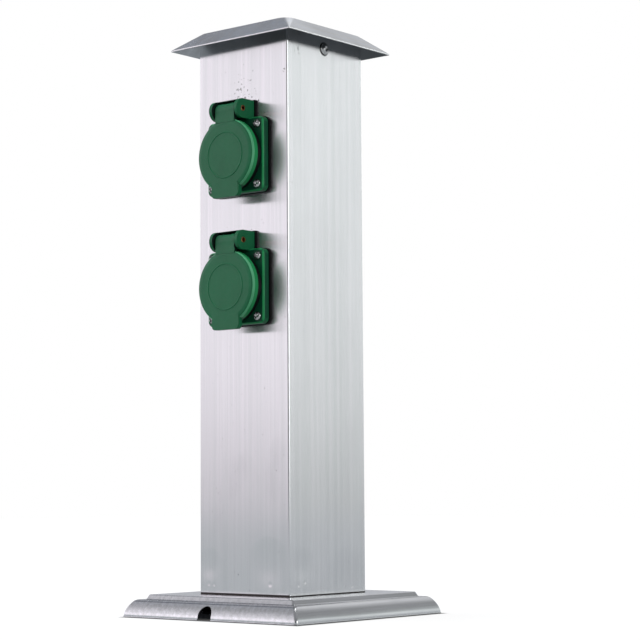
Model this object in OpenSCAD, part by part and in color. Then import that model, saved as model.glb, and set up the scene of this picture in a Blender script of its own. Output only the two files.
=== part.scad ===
// Garden socket post: a square brushed steel column on a flared foot cover, under a low
// sheet roof, with two earthed sockets behind sprung green lids.
// Millimetres. Origin at the bottom centre, +Z up, the sockets face -Y.

/* [Column] */
// Height from the ground to the top of the roof
post_h = 396; // [380:1:480]
// Width of the square column
col_w = 79.2; // [76:0.2:90]
// Sheet thickness of the column
col_wall = 1; // [0.8:0.1:1.5]
// Outer bend radius of the column's corners
col_bend_r = 1.2; // [1.1:0.1:3]

/* [Roof] */
// How far the rim stands out from the column
roof_overhang = 14; // [10:0.5:20]
// How far the flat top reaches past the column
roof_top_margin = 1; // [0.5:0.1:2]
// Height of the roof from its rim to its top
roof_rise = 12.4; // [9:0.1:16]
// Sheet thickness of the roof
roof_sheet = 1; // [0.8:0.1:1.2]
// Radius of the roof's corners at the rim
roof_rim_r = 0.8; // [0.5:0.1:2]
// Radius of the roof's drawn corners at the top
roof_top_r = 8; // [2:0.5:10]
// Width of the strap that holds the roof
strap_w = 24; // [16:1:34]
// Thickness of the strap
strap_t = 2; // [1.5:0.1:3]
// Length of the strap's legs below the roof sheet
strap_leg = 24; // [20:1:34]
// Height of the roof screws below the roof's top
roof_screw_drop = 15.4; // [14:0.1:17]
// Sideways place of the roof screws
roof_screw_y = -1; // [-4:0.5:4]

/* [Foot] */
// Width of the foot cover at the ground
base_w = 153; // [145:1:180]
// Height of the foot cover
base_h = 14.5; // [13:0.1:18]
// Sheet thickness of the foot cover
base_sheet = 1; // [0.8:0.1:1.2]
// Height of the ledge above the flare
ledge_z = 11.3; // [10:0.1:12]
// How far the flare runs in on each side
flare_in = 6.15; // [4:0.05:8]
// Radius of the flare's convex curve
flare_r = 18; // [14:1:30]
// Width of the flat ledge
ledge_w = 4.8; // [3:0.1:7]
// How far the step's side leans in
step_in = 1.35; // [0.5:0.05:3]
// Corner radius of the foot cover
base_corner_r = 2; // [1:0.5:4]
// Gap between the column and the foot cover
cover_gap = 0.8; // [0.5:0.1:1.5]
// Width of the cable notch in the front rim
notch_w = 11.6; // [8:0.2:16]
// Height of the cable notch
notch_h = 9.1; // [8:0.1:9.8]
// Sideways place of the cable notch
notch_x = -1.8; // [-6:0.2:6]
// Width of the anchor plate
plate_w = 124; // [118:1:132]
// Thickness of the anchor plate
plate_t = 3; // [2.5:0.1:4]
// Distance of the ground bolts from the anchor plate's edges
bolt_inset = 10; // [8:0.5:12]
// Diameter of the ground bolt holes
bolt_hole_d = 9; // [7:0.5:11]
// Diameter of the cable hole in the anchor plate
cable_hole_d = 30; // [20:1:34]
// Length of the corner brackets' legs
bracket_leg = 20; // [16:0.5:22]
// Height of the corner brackets
bracket_h = 26; // [20:1:34]
// Sheet thickness of the corner brackets
bracket_t = 2; // [1.5:0.1:3]

/* [Sockets] */
// Distance of the upper socket's centre below the roof's top
upper_drop = 90.5; // [84:0.5:100]
// Distance between the two sockets' centres
socket_pitch = 88; // [78:0.5:100]
// Width of the square flange
flange_w = 50; // [49:0.5:54]
// Thickness of the flange
flange_t = 5.5; // [4:0.1:6]
// Corner radius of the flange
flange_corner_r = 4; // [3:0.5:6]
// Rounding of the flange's front edge
flange_edge_r = 1.5; // [0.5:0.1:2]
// Thickness of the gasket behind the flange
gasket_t = 2.2; // [2:0.1:4]
// How far the gasket reaches past the flange
gasket_margin = 0.5; // [0.3:0.1:1.5]
// Spacing of the flange screws
screw_pitch = 40; // [39:0.5:42]
// Diameter of the recess that takes the plug
well_d = 39; // [38.5:0.1:40]
// Depth of the recess that takes the plug
well_depth = 17.5; // [16.5:0.1:19]
// Spacing of the two pin holes
pin_pitch = 19; // [19:0.1:19.4]
// Diameter of the pin holes
pin_hole_d = 5.4; // [5:0.1:5.8]
// Wall thickness of the plug recess
well_wall = 1.2; // [1:0.1:1.4]
// Floor thickness of the plug recess
well_floor = 3; // [2.6:0.1:4]
// Height of the insert's rim in front of the flange
rim_h = 4; // [3:0.1:5]
// Diameter of the insert's rim
rim_d = 46.6; // [45.8:0.1:47.4]
// Thickness of the housing's barrel behind the flange
barrel_wall = 1.5; // [1:0.1:1.8]
// Length of the contact carrier
carrier_len = 14; // [12:0.5:18]

/* [Lids] */
// Diameter of the lid
lid_d = 49; // [48:0.2:50]
// Thickness of the lid over its skirt
lid_t = 6; // [5.4:0.1:7]
// Thickness of the lid's front wall
lid_wall = 2.4; // [2:0.1:3]
// Thickness of the lid's skirt
lid_skirt = 1.8; // [1.4:0.1:2.4]
// Rounding of the lid's front edge
lid_edge_r = 1.2; // [0.6:0.1:1.6]
// Diameter of the raised ring on the lid
lid_ring_d = 30.5; // [24:0.5:36]
// Width of the lid's hinge tab
tab_w = 18.2; // [17:0.2:21]
// Height of the hinge pin above the socket's centre
pin_up = 30.7; // [30.4:0.1:33]
// Diameter of the hinge pin
pin_d = 4; // [3:0.1:4.4]
// Outer radius of the hinge knuckles
knuckle_r = 4.8; // [4.5:0.1:5]
// Outer radius of the hinge ears
ear_r = 6.6; // [6.4:0.1:7]
// Thickness of each hinge ear
ear_t = 2.6; // [2:0.1:3.4]
// Thickness of the hood over the hinge
hood_t = 1.2; // [1:0.1:1.2]
// Width of the slot between the knuckles for the spring
spring_slot = 6.4; // [6:0.1:8]
// Wire diameter of the lid spring
spring_wire = 0.7; // [0.5:0.05:0.8]
// Width of the finger lip
lip_w = 24; // [18:0.5:28]
// How far the finger lip hangs below the lid
lip_drop = 3.9; // [3:0.1:5]
// Thickness of the finger lip
lip_t = 3.8; // [2.6:0.1:4.4]
// Radius of the finger lip's lower corners
lip_r = 2.4; // [1:0.1:3]

/* [Fits] */
// Gap between pieces that lie against each other
seat_gap = 0.1; // [0.05:0.05:0.3]
// Gap between the lid and what it closes on
lid_gap = 0.3; // [0.2:0.05:0.5]
// Gap between the lid's tab and each hinge ear
tab_gap = 0.7; // [0.3:0.05:1]
// Radial running clearance of the lid on its pin
hinge_play = 0.05; // [0.02:0.01:0.09]
// Radial gap of a piece pushed into a hole
push_gap = 0.3; // [0.1:0.05:0.4]

/* [Hidden] */
$fn = 64;

// Small overlap of a cut past the face it opens
eps = 1;

// Heights of the sockets and of the main levels of the post
upper_z = post_h - upper_drop;
lower_z = upper_z - socket_pitch;
col_in = col_w/2 - col_wall;
col_bottom = plate_t + seat_gap;
// The column ends lower where the roof's drawn corners are rounder than its own
col_top = post_h - roof_sheet - lid_gap - roof_top_r/4;

// Roof
roof_half = col_w/2 + roof_overhang;
roof_top_half = col_w/2 + roof_top_margin;
roof_shoulder = 1;
roof_screw_z = post_h - roof_screw_drop;
roof_screw_r = 2;
roof_head_r = 3.9;
roof_head_h = 2.4;
roof_screw_len = 9;

// Foot
base_half = base_w/2;
flare_top = base_half - flare_in;
step_low = flare_top - ledge_w;
step_top = step_low - step_in;
flare_steps = 6;
foot_screw_r = 2.5;
foot_screw_at = col_in - seat_gap - bracket_leg/2 - 1;
foot_head_r = 4.2;
foot_head_h = 2.8;
bolt_at = plate_w/2 - bolt_inset;
col_notch_w = notch_w + 4;
col_notch_z = base_h - base_sheet - 1;

// Socket depths, counted outwards from the column's face
flange_back = gasket_t;
face_z = flange_back + flange_t;
rim_z = face_z + rim_h;
lid_back = rim_z + lid_gap;
lid_face = lid_back + lid_t;
floor_z = rim_z - well_depth;
floor_back = floor_z - well_floor;
well_r = well_d/2;
cup_r = well_r + well_wall;
barrel_in = cup_r + push_gap;
barrel_r = barrel_in + barrel_wall;
panel_hole_r = barrel_r + 0.5;
barrel_end = floor_back - 1.5;
insert_screw_len = 10;
carrier_front = barrel_end - seat_gap;
carrier_back = carrier_front - carrier_len;

// Hinge
pin_out = lid_face - knuckle_r;
pin_r = pin_d/2;
knuckle_bore = pin_r + hinge_play;
ear_in = tab_w/2 + tab_gap;
ear_out = ear_in + ear_t;
hood_under = pin_up + ear_r - hood_t;
hinge_back_t = 2;
ring_w = 0.8;
ring_h = 0.25;

// Flange screws
flange_screw_r = 1.5;
flange_hole_r = 1.7;
flange_head_r = 2.8;
flange_head_h = 2;
nut_h = 2.4;
nut_af = 5.5;
flange_screw_end = -col_wall - nut_h - 1.5;

// Contacts and terminals behind the well
contact_r = pin_hole_d/2 + 0.8;
contact_bore = pin_hole_d/2 + 0.1;
clip_w = 8;
clip_t = 0.8;
clip_leg = well_r + 0.1;
clip_slot = 0.4;
clip_reach = rim_z - 5.5;
clip_bite = 2.6;
rib_w = 4.8;
rib_h = 2.4;
earth_down = 13;
post_side = 7;
post_front = carrier_back - 0.4;
post_back = post_front - post_side;
wire_z = post_front - 2.2;
wire_r = 1.2;
wire_hole_r = 1.35;
post_screw_r = 1.5;
post_head_r = 2.6;
post_head_h = 1.8;

// Terminal block inside the column
block_x = pin_pitch/2;
block_z = 112;
block_h = 22;
block_d = 12;
block_stand = 8;
block_face = col_in - block_stand;
block_wire_y = block_face - block_d/2;
tube_r = 2.7;
tube_bore = 1.5;
bracket_plate_t = 1.5;
mount_screw_r = 1;
mount_head_r = 1.7;
lead_bend = 5;
bend_steps = 6;
lead_sides = 12;
cross_z = block_z + block_h/2 + 12;
wire_y = -col_w/2 - wire_z;
stud_r = 2.5;
stud_x = col_in - 7;
bracket_foot = 6;
bracket_half = stud_x - stud_r - 2.5 - bracket_foot;
lug_t = 1;
loop_z = block_z - block_h/2 - 12;

steel = "#c9ccd2";
roof_steel = "#9a9da3";
zinc = "#b9bcc0";
green = "#2f6a4b";
black = "#1b1c20";
brass = "#c9a24a";

// General shapes

module round_rect(w, h, r) {
    square([w - 2*r, h], center = true);
    square([w, h - 2*r], center = true);
    for (x = [-1, 1], y = [-1, 1]) translate([x*(w/2 - r), y*(h/2 - r)]) circle(r);
}

// Tube along the x axis from x0 to x1
module x_rod(x0, x1, r) translate([x0, 0, 0]) rotate([0, 90, 0]) cylinder(h = x1 - x0, r = r);

// Profile drawn as (outwards, up), extruded across the width between x0 and x1
module side_extrude(x0, x1)
    translate([(x0 + x1)/2, 0, 0]) rotate([0, -90, 0]) linear_extrude(x1 - x0, center = true)
        children();

// Half of a slab of height t whose upper outer edge is rounded
module edge_profile(w, t, edge) {
    square([w - edge, t]);
    square([w, t - edge]);
    translate([w - edge, t - edge]) intersection() {
        circle(edge);
        square(edge);
    }
}

module both_edges_profile(w, t, edge) {
    edge_profile(w/2, t, edge);
    mirror([1, 0]) edge_profile(w/2, t, edge);
}

// Plate with round corners and a rounded upper edge
module soft_plate(w, t, r, edge) {
    for (a = [0, 90]) rotate([0, 0, a]) rotate([90, 0, 0])
        linear_extrude(w - 2*r, center = true) both_edges_profile(w, t, edge);
    for (x = [-1, 1], y = [-1, 1]) translate([x*(w/2 - r), y*(w/2 - r), 0])
        rotate_extrude() edge_profile(r, t, edge);
}

module pan_screw(head_r, head_h, shank_r, len) {
    rotate_extrude() edge_profile(head_r, head_h, head_h*0.7);
    translate([0, 0, -len]) cylinder(h = len, r = shank_r);
}

module hex_nut(af, h, bore_r) difference() {
    cylinder(h = h, r = af/sqrt(3), $fn = 6);
    translate([0, 0, -eps]) cylinder(h = h + 2*eps, r = bore_r);
}

// Column, roof and foot

module column_tube() color(steel) difference() {
    translate([0, 0, col_bottom]) linear_extrude(col_top - col_bottom) difference() {
        round_rect(col_w, col_w, col_bend_r);
        round_rect(2*col_in, 2*col_in, col_bend_r - col_wall);
    }
    for (z = [upper_z, lower_z]) at_socket(z) {
        translate([0, 0, -col_wall - eps]) cylinder(h = col_wall + 2*eps, r = panel_hole_r);
        at_flange_screws() translate([0, 0, -col_wall - eps])
            cylinder(h = col_wall + 2*eps, r = flange_hole_r);
    }
    for (s = [-1, 1]) translate([s*(col_in - eps), roof_screw_y, roof_screw_z])
        rotate([0, s*90, 0]) cylinder(h = col_wall + 2*eps, r = roof_screw_r + 0.2);
    translate([notch_x - col_notch_w/2, -col_w/2 - eps, col_bottom - eps])
        cube([col_notch_w, col_wall + 2*eps, col_notch_z - col_bottom + eps]);
}

// Solid outline of the roof, shrunk by a sheet thickness for its inside
module roof_solid(inset, drop) hull() {
    translate([0, 0, post_h - roof_rise - eps*inset]) linear_extrude(0.6 + eps*inset)
        round_rect(2*(roof_half - inset), 2*(roof_half - inset), roof_rim_r);
    translate([0, 0, post_h - roof_shoulder - drop]) linear_extrude(0.01)
        round_rect(2*(roof_top_half + roof_shoulder - inset),
                   2*(roof_top_half + roof_shoulder - inset), roof_top_r);
    translate([0, 0, post_h - drop - 0.01]) linear_extrude(0.01)
        round_rect(2*(roof_top_half - inset*0.4), 2*(roof_top_half - inset*0.4), roof_top_r - 1);
}

module roof_hat() color(roof_steel) difference() {
    roof_solid(0, 0, $fn = 32);
    roof_solid(roof_sheet, roof_sheet, $fn = 32);
}

// Strap under the roof, bent down into the column on two sides
module roof_strap() color(zinc) difference() {
    strap_half = col_in - lid_gap;
    top = post_h - roof_sheet;
    translate([-strap_half, roof_screw_y - strap_w/2, top - strap_leg])
        cube([2*strap_half, strap_w, strap_leg]);
    translate([-strap_half + strap_t, roof_screw_y - strap_w/2 - eps, top - strap_leg - eps])
        cube([2*(strap_half - strap_t), strap_w + 2*eps, strap_leg - strap_t + eps]);
    for (s = [-1, 1]) translate([s*(strap_half - strap_t - eps), roof_screw_y, roof_screw_z])
        rotate([0, s*90, 0]) cylinder(h = strap_t + 2*eps, r = roof_screw_r + hinge_play);
}

module roof_screws() color(zinc) for (s = [-1, 1])
    translate([s*(col_w/2 + seat_gap), roof_screw_y, roof_screw_z]) rotate([0, s*90, 0])
        difference() {
            pan_screw(roof_head_r, roof_head_h, roof_screw_r, roof_screw_len);
            translate([0, 0, roof_head_h - 1.2]) cylinder(h = 2, r = 1.6, $fn = 6);
        }

// Half width of the flare at height z, on an arc of radius r round the flare's centre
function flare_chord() = sqrt(flare_in*flare_in + ledge_z*ledge_z);
function flare_offset() = sqrt(flare_r*flare_r - flare_chord()*flare_chord()/4);
function flare_cx() = (base_half + flare_top)/2 - flare_offset()*ledge_z/flare_chord();
function flare_cz() = ledge_z/2 - flare_offset()*flare_in/flare_chord();
function flare_x(z, r) = flare_cx() + sqrt(r*r - (z - flare_cz())*(z - flare_cz()));

// Convex layer stack of the flare, between heights z0 and z1
module flare_solid(r, z0, z1) hull() for (i = [0:flare_steps]) {
    z = z0 + (z1 - z0 - 0.01)*i/flare_steps;
    translate([0, 0, z]) linear_extrude(0.01)
        round_rect(2*flare_x(z, r), 2*flare_x(z, r), base_corner_r);
}

module step_solid(inset, z1) hull() {
    translate([0, 0, ledge_z - base_sheet - 0.5]) linear_extrude(0.01)
        round_rect(2*(step_low - inset), 2*(step_low - inset), base_corner_r);
    translate([0, 0, z1 - 0.01]) linear_extrude(0.01)
        round_rect(2*(step_top - inset), 2*(step_top - inset), base_corner_r);
}

module base_cover() color(steel) difference() {
    union() {
        flare_solid(flare_r, 0, ledge_z, $fn = 32);
        step_solid(0, base_h, $fn = 32);
    }
    flare_solid(flare_r - base_sheet, -eps, ledge_z - base_sheet, $fn = 32);
    step_solid(base_sheet, base_h - base_sheet, $fn = 32);
    linear_extrude(base_h + eps)
        round_rect(col_w + 2*cover_gap, col_w + 2*cover_gap, col_bend_r + cover_gap);
    translate([notch_x, -flare_top + 4, notch_h - notch_w/2]) rotate([90, 0, 0])
        cylinder(h = flare_in + 4 + eps, r = notch_w/2);
    translate([notch_x - notch_w/2, -base_half - eps, -eps])
        cube([notch_w, flare_in + 4 + eps, notch_h - notch_w/2 + eps]);
}

module at_foot_screws() for (x = [-1, 1], y = [-1, 1])
    translate([x*foot_screw_at, y*foot_screw_at, 0]) children();

module anchor_plate() color(zinc) difference() {
    linear_extrude(plate_t) round_rect(plate_w, plate_w, 4);
    for (x = [-1, 1], y = [-1, 1]) translate([x*bolt_at, y*bolt_at, -eps])
        cylinder(h = plate_t + 2*eps, r = bolt_hole_d/2);
    at_foot_screws() translate([0, 0, -eps])
        cylinder(h = plate_t + 2*eps, r = foot_screw_r + hinge_play);
    translate([0, 0, -eps]) cylinder(h = plate_t + 2*eps, r = cable_hole_d/2);
}

// One angle in each corner of the column, spot welded to it and screwed to the plate
module foot_brackets() color(zinc) for (x = [0, 1], y = [0, 1]) mirror([x, 0, 0])
    mirror([0, y, 0]) {
        outer = col_in - seat_gap;
        corner = 1.5;
        difference() {
            translate([outer - bracket_leg, outer - bracket_leg, col_bottom])
                cube([bracket_leg, bracket_leg, bracket_h]);
            translate([outer - bracket_leg - eps, outer - bracket_leg - eps,
                       col_bottom + bracket_t])
                cube([bracket_leg - bracket_t + eps, bracket_leg - bracket_t + eps, bracket_h]);
            translate([outer - corner, outer - corner, col_bottom - eps]) difference() {
                cube([corner + eps, corner + eps, bracket_h + 2*eps]);
                cylinder(h = bracket_h + 2*eps, r = corner);
            }
            translate([foot_screw_at, foot_screw_at, col_bottom - eps])
                cylinder(h = bracket_t + 2*eps, r = foot_screw_r + 0.3);
        }
    }

module foot_screws() color(zinc) at_foot_screws()
    translate([0, 0, col_bottom + bracket_t + seat_gap])
        pan_screw(foot_head_r, foot_head_h, foot_screw_r, bracket_t + plate_t - 0.1);

// Sockets, drawn with x to the right, y up and z outwards from the column's face

module at_socket(z) translate([0, -col_w/2, z]) rotate([90, 0, 0]) children();

module at_flange_screws() for (x = [-1, 1], y = [-1, 1])
    translate([x*screw_pitch/2, y*screw_pitch/2, 0]) children();

module hinge_outline(margin)
    translate([-ear_out - margin, 0]) square([2*(ear_out + margin), pin_up + ear_r + margin]);

module gasket() color(black) difference() {
    linear_extrude(gasket_t - seat_gap) {
        round_rect(flange_w + 2*gasket_margin, flange_w + 2*gasket_margin,
                   flange_corner_r + gasket_margin);
        hinge_outline(gasket_margin);
    }
    translate([0, 0, -eps]) cylinder(h = gasket_t + 2*eps, r = panel_hole_r);
    at_flange_screws() translate([0, 0, -eps])
        cylinder(h = gasket_t + 2*eps, r = flange_hole_r);
}

// Outline of a hinge ear, as (outwards, up)
module ear_profile() {
    translate([pin_out, pin_up]) circle(ear_r);
    translate([flange_back, pin_up - ear_r]) square([pin_out - flange_back, 2*ear_r]);
}

module housing() color(green) difference() {
    union() {
        translate([0, 0, flange_back])
            soft_plate(flange_w, flange_t, flange_corner_r, flange_edge_r);
        translate([0, 0, barrel_end]) cylinder(h = face_z - barrel_end, r = barrel_r);
        for (s = [-1, 1]) side_extrude(s > 0 ? ear_in : -ear_out, s > 0 ? ear_out : -ear_in)
            ear_profile();
        side_extrude(-ear_out, ear_out) {
            translate([flange_back, hood_under]) square([pin_out - flange_back, hood_t]);
            translate([flange_back, flange_w/2 - flange_corner_r])
                square([hinge_back_t, pin_up + ear_r - flange_w/2 + flange_corner_r]);
        }
    }
    translate([0, 0, barrel_end - eps]) cylinder(h = face_z - barrel_end + 2*eps, r = barrel_in);
    at_flange_screws() translate([0, 0, flange_back - eps])
        cylinder(h = flange_t + 2*eps, r = flange_hole_r);
    translate([0, pin_up, pin_out]) x_rod(-ear_out - eps, ear_out + eps, pin_r + 0.02);
}

module insert_profile() difference() {
    union() {
        translate([0, floor_z + seat_gap]) square([cup_r, face_z - floor_z]);
        translate([0, face_z + seat_gap]) edge_profile(rim_d/2, rim_h - seat_gap, 0.8);
    }
    translate([0, floor_z - eps]) square([well_r, well_depth + 2*eps]);
}

// Room for the earth clip at the top and bottom of the well
module earth_slots() for (s = [0, 1]) mirror([0, s, 0])
    translate([-clip_w/2 - clip_slot, well_r - 0.6, floor_back - eps])
        cube([clip_w + 2*clip_slot, 4, clip_reach - floor_back + 2*eps]);

// Black sleeve that guides the plug, with its rim, two guide ribs and earth slots
module insert() color(black) difference() {
    union() {
        rotate_extrude() insert_profile();
        for (s = [0, 1]) mirror([s, 0, 0]) intersection() {
            translate([well_r - rib_h, -rib_w/2, floor_z + seat_gap])
                cube([rib_h + well_wall/2, rib_w, well_depth - 1]);
            cylinder(h = 3*well_depth, r = well_r + well_wall/2, center = true);
        }
    }
    earth_slots();
}

// Floor of the well, with the pin holes and the countersunk fixing hole
module pin_plate() color(black) difference() {
    translate([0, 0, floor_back]) cylinder(h = well_floor, r = cup_r);
    for (s = [-1, 1]) translate([s*pin_pitch/2, 0, floor_back - eps])
        cylinder(h = well_floor + 2*eps, r = pin_hole_d/2);
    translate([0, 0, floor_back - eps]) cylinder(h = well_floor + 2*eps, r = 1.7);
    translate([0, 0, floor_z - 2]) cylinder(h = 2 + eps, r = 3.1);
    earth_slots();
}

module insert_screw() color(zinc) translate([0, 0, floor_z - 2 + seat_gap]) difference() {
    pan_screw(2.8, 1.7, 1.45, insert_screw_len);
    translate([0, 0, 0.8]) cylinder(h = 2, r = 1.1, $fn = 6);
}

// Rear body that holds the contacts
module contact_carrier() color("#6d7076") difference() {
    union() {
        translate([0, 0, carrier_back]) cylinder(h = carrier_len, r = barrel_r - 0.3);
        translate([0, 0, carrier_front - eps])
            cylinder(h = floor_back - carrier_front - seat_gap + eps, r = 2.8);
    }
    for (s = [-1, 1]) translate([s*pin_pitch/2, 0, carrier_back - eps])
        cylinder(h = carrier_len + 2*eps, r = contact_r + seat_gap);
    translate([0, 0, floor_back - insert_screw_len]) cylinder(h = insert_screw_len + 2*eps, r = 1.5);
    translate([0, -earth_down, carrier_back - eps]) cylinder(h = carrier_len + 2*eps, r = 2.1);
    translate([-8, 12, carrier_back - eps]) cube([16, 4, carrier_len - 4]);
}

// Clamp post behind the carrier: a block with a wire hole and a clamp screw's thread
module clamp_post() difference() {
    translate([-post_side/2, -post_side/2, post_back]) cube([post_side, post_side, post_side]);
    translate([0, -post_side, wire_z]) rotate([-90, 0, 0])
        cylinder(h = 2*post_side, r = wire_hole_r);
    translate([0, 0, post_back - eps])
        cylinder(h = wire_z - post_back + eps, r = post_screw_r + hinge_play);
}

module line_contacts() color(brass) for (s = [-1, 1]) translate([s*pin_pitch/2, 0, 0]) {
    sleeve_front = carrier_front - 0.4;
    difference() {
        translate([0, 0, carrier_back + 1])
            cylinder(h = sleeve_front - carrier_back - 1, r = contact_r);
        translate([0, 0, carrier_back + 3]) cylinder(h = carrier_len, r = contact_bore);
        for (a = [0, 90]) rotate([0, 0, a])
            translate([-5, -0.4, carrier_back + 5]) cube([10, 0.8, carrier_len]);
    }
    translate([0, 0, post_front - 0.5]) cylinder(h = carrier_back + 1.5 - post_front, r = 2.4);
    clamp_post();
}

// Earth clip in profile, as (outwards, up): strap leg and the tongue bent into the well
module clip_profile() {
    y = clip_leg;
    polygon([[strap_z0(), 2.6 + push_gap], [strap_z0() + clip_t, 2.6 + push_gap],
             [strap_z0() + clip_t, y], [clip_reach - 1, y],
             [clip_reach - 4, y - clip_bite], [clip_reach - 4 - 1, y - clip_bite + 0.3],
             [clip_reach - 4.4, y - clip_bite - clip_t*0.8], [clip_reach - 3.4, y - clip_bite - clip_t*0.9],
             [clip_reach, y + clip_t*0.2], [clip_reach, y + clip_t], [strap_z0(), y + clip_t]]);
}
function strap_z0() = carrier_front + seat_gap;

module earth_clip() color(zinc) {
    difference() {
        union() {
            for (s = [0, 1]) mirror([0, s, 0]) side_extrude(-clip_w/2, clip_w/2) clip_profile();
            side_extrude(-clip_w/2, clip_w/2)
                translate([strap_z0(), -3]) square([clip_t, 6]);
        }
        cylinder(h = 4*well_depth, r = 2.8 + push_gap, center = true);
    }
    translate([0, -earth_down, post_front - 0.5])
        cylinder(h = strap_z0() - post_front + 0.6, r = 2);
    translate([0, -earth_down, 0]) clamp_post();
}

module contact_screws() color(zinc)
    for (p = [[-pin_pitch/2, 0], [pin_pitch/2, 0], [0, -earth_down]])
        translate([p[0], p[1], post_back - seat_gap]) rotate([180, 0, 0])
            pan_screw(post_head_r, post_head_h, post_screw_r, wire_z - wire_r - post_back - 0.2);

module flange_screws() color(zinc) at_flange_screws() translate([0, 0, face_z + seat_gap])
    pan_screw(flange_head_r, flange_head_h, flange_screw_r, face_z - flange_screw_end);

module flange_nuts() color(zinc) at_flange_screws()
    translate([0, 0, -col_wall - nut_h - seat_gap])
        hex_nut(nut_af, nut_h, flange_screw_r + hinge_play);

// Lid, its seal, pin and spring

module lid_disc() {
    translate([0, 0, lid_back]) rotate_extrude() edge_profile(lid_d/2, lid_t, lid_edge_r);
    translate([0, 0, lid_face - 0.2]) rotate_extrude()
        translate([lid_ring_d/2 - ring_w/2, 0]) square([ring_w, 0.2 + ring_h]);
}

// Finger lip: a tongue flush with the lid's face, its lower corners and front edge rounded
module lid_lip() {
    h = lip_drop + lid_d/4;
    edge = 1;
    translate([0, -lid_d/2 - lip_drop, lid_face - lip_t]) intersection() {
        translate([0, h/2, 0]) linear_extrude(lip_t) round_rect(lip_w, h, lip_r);
        side_extrude(-lip_w/2, lip_w/2) {
            square([lip_t - edge, h]);
            translate([0, edge]) square([lip_t, h - edge]);
            translate([lip_t - edge, edge]) circle(edge);
        }
    }
}

module lid() color(green) difference() {
    union() {
        lid_disc();
        side_extrude(-tab_w/2, tab_w/2) {
            translate([lid_face - lid_wall, lid_d/2 - 4])
                square([lid_wall, pin_up - lid_d/2 + 4]);
            translate([pin_out, pin_up]) circle(knuckle_r);
        }
        lid_lip();
    }
    translate([0, 0, lid_back - eps])
        cylinder(h = lid_t - lid_wall + eps, r = lid_d/2 - lid_skirt);
    translate([0, pin_up, pin_out]) {
        x_rod(-tab_w/2 - eps, tab_w/2 + eps, knuckle_bore);
        x_rod(-spring_slot/2, spring_slot/2, knuckle_r - 0.9);
    }
    side_extrude(-spring_slot/2, spring_slot/2)
        translate([0, pin_up - knuckle_r - eps]) square([lid_face - lid_wall, 2*knuckle_r + 2*eps]);
}

module lid_seal() color(black) translate([0, 0, lid_back]) rotate_extrude()
    translate([well_r - 0.5, 0])
        square([lid_d/2 - lid_skirt - seat_gap - well_r + 0.5, lid_t - lid_wall - seat_gap]);

module hinge_pin() color(brass) translate([0, pin_up, pin_out]) difference() {
    x_rod(-ear_out - 0.1, ear_out + 0.1, pin_r);
    for (s = [0, 1]) mirror([s, 0, 0]) x_rod(ear_out - 3, ear_out + eps, pin_r*0.5);
}

// Torsion spring: one leg behind the lid's tab, turns round the pin, one leg on the housing
spring_r = pin_r + 1;
spring_a0 = -25;
spring_a1 = 90 + 3*360;
spring_half = spring_slot/2 - spring_wire/2 - 0.4;
spring_leg_in = 3;
spring_leg_out = pin_out - flange_back - hinge_back_t - spring_wire/2 - seat_gap;
spring_step = 20;
function coil_x(a) = -spring_half + 2*spring_half*(a - spring_a0)/(spring_a1 - spring_a0);
function coil_point(a) =
    [coil_x(a), pin_up + spring_r*sin(a), pin_out + spring_r*cos(a)];
spring_start = coil_point(spring_a0)
    + spring_leg_in*[0, -cos(spring_a0), sin(spring_a0)];
spring_end = coil_point(spring_a1) + [0, 0, -spring_leg_out];
spring_path = concat([spring_start],
    [for (a = [spring_a0:spring_step:spring_a1]) coil_point(a)], [coil_point(spring_a1), spring_end]);

// Tube of n sides swept along a path of points that never runs along the vector side
module sweep(path, r, n, side = [1, 0, 0]) {
    last = len(path) - 1;
    ahead = [for (i = [0:last]) let (d = path[min(i + 1, last)] - path[max(i - 1, 0)]) d/norm(d)];
    rings = [for (i = [0:last]) let (t = ahead[i], u = cross(t, side), v = u/norm(u),
                                     w = cross(t, v))
        for (k = [0:n - 1]) path[i] + r*(cos(360*k/n)*v + sin(360*k/n)*w)];
    sides = [for (i = [0:last - 1], k = [0:n - 1]) let (a = i*n + k, b = i*n + (k + 1)%n)
        each [[a, a + n, b + n], [a, b + n, b]]];
    caps = [for (k = [1:n - 2]) each [[0, k, k + 1], [last*n, last*n + k + 1, last*n + k]]];
    polyhedron(rings, concat(sides, caps));
}

module lid_spring() color(zinc) sweep(spring_path, spring_wire/2, 6);

// Wiring

module terminal_bracket() color(zinc) difference() {
    translate([0, 0, block_z - block_h/2 - 2]) linear_extrude(block_h + 4) {
        translate([-bracket_half, block_face + seat_gap])
            square([2*bracket_half, bracket_plate_t]);
        for (s = [0, 1]) mirror([s, 0]) {
            translate([bracket_half - bracket_plate_t, block_face + seat_gap])
                square([bracket_plate_t, block_stand - 2*seat_gap]);
            translate([bracket_half - bracket_plate_t, col_in - seat_gap - bracket_plate_t])
                square([bracket_foot + bracket_plate_t, bracket_plate_t]);
        }
    }
    for (s = [-1, 1]) translate([s*block_x/2, block_face - eps, block_z]) rotate([-90, 0, 0])
        cylinder(h = 4, r = mount_screw_r + hinge_play);
}

module terminal_block() color("#e6e6e2") difference() {
    for (i = [-1:1]) translate([i*block_x, block_wire_y, block_z - block_h/2])
        linear_extrude(block_h) {
            translate([-block_x/2, 0]) square([block_x, block_d/2]);
            circle(block_x/2 - 0.1);
            translate([-2.4, -block_d/2]) square([4.8, block_d/2]);
        }
    for (i = [-1:1]) {
        translate([i*block_x, block_wire_y, block_z - block_h])
            cylinder(h = 2*block_h, r = tube_r + seat_gap);
        for (z = [-5, 5]) translate([i*block_x, block_wire_y, block_z + z]) rotate([90, 0, 0])
            cylinder(h = block_d, r = 1.8);
    }
    for (s = [-1, 1]) translate([s*block_x/2, block_face + eps, block_z]) rotate([90, 0, 0]) {
        cylinder(h = block_d + 2*eps, r = mount_screw_r + 0.15);
        translate([0, 0, block_d/2 + eps]) cylinder(h = block_d, r = mount_head_r + 0.15);
    }
}

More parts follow.
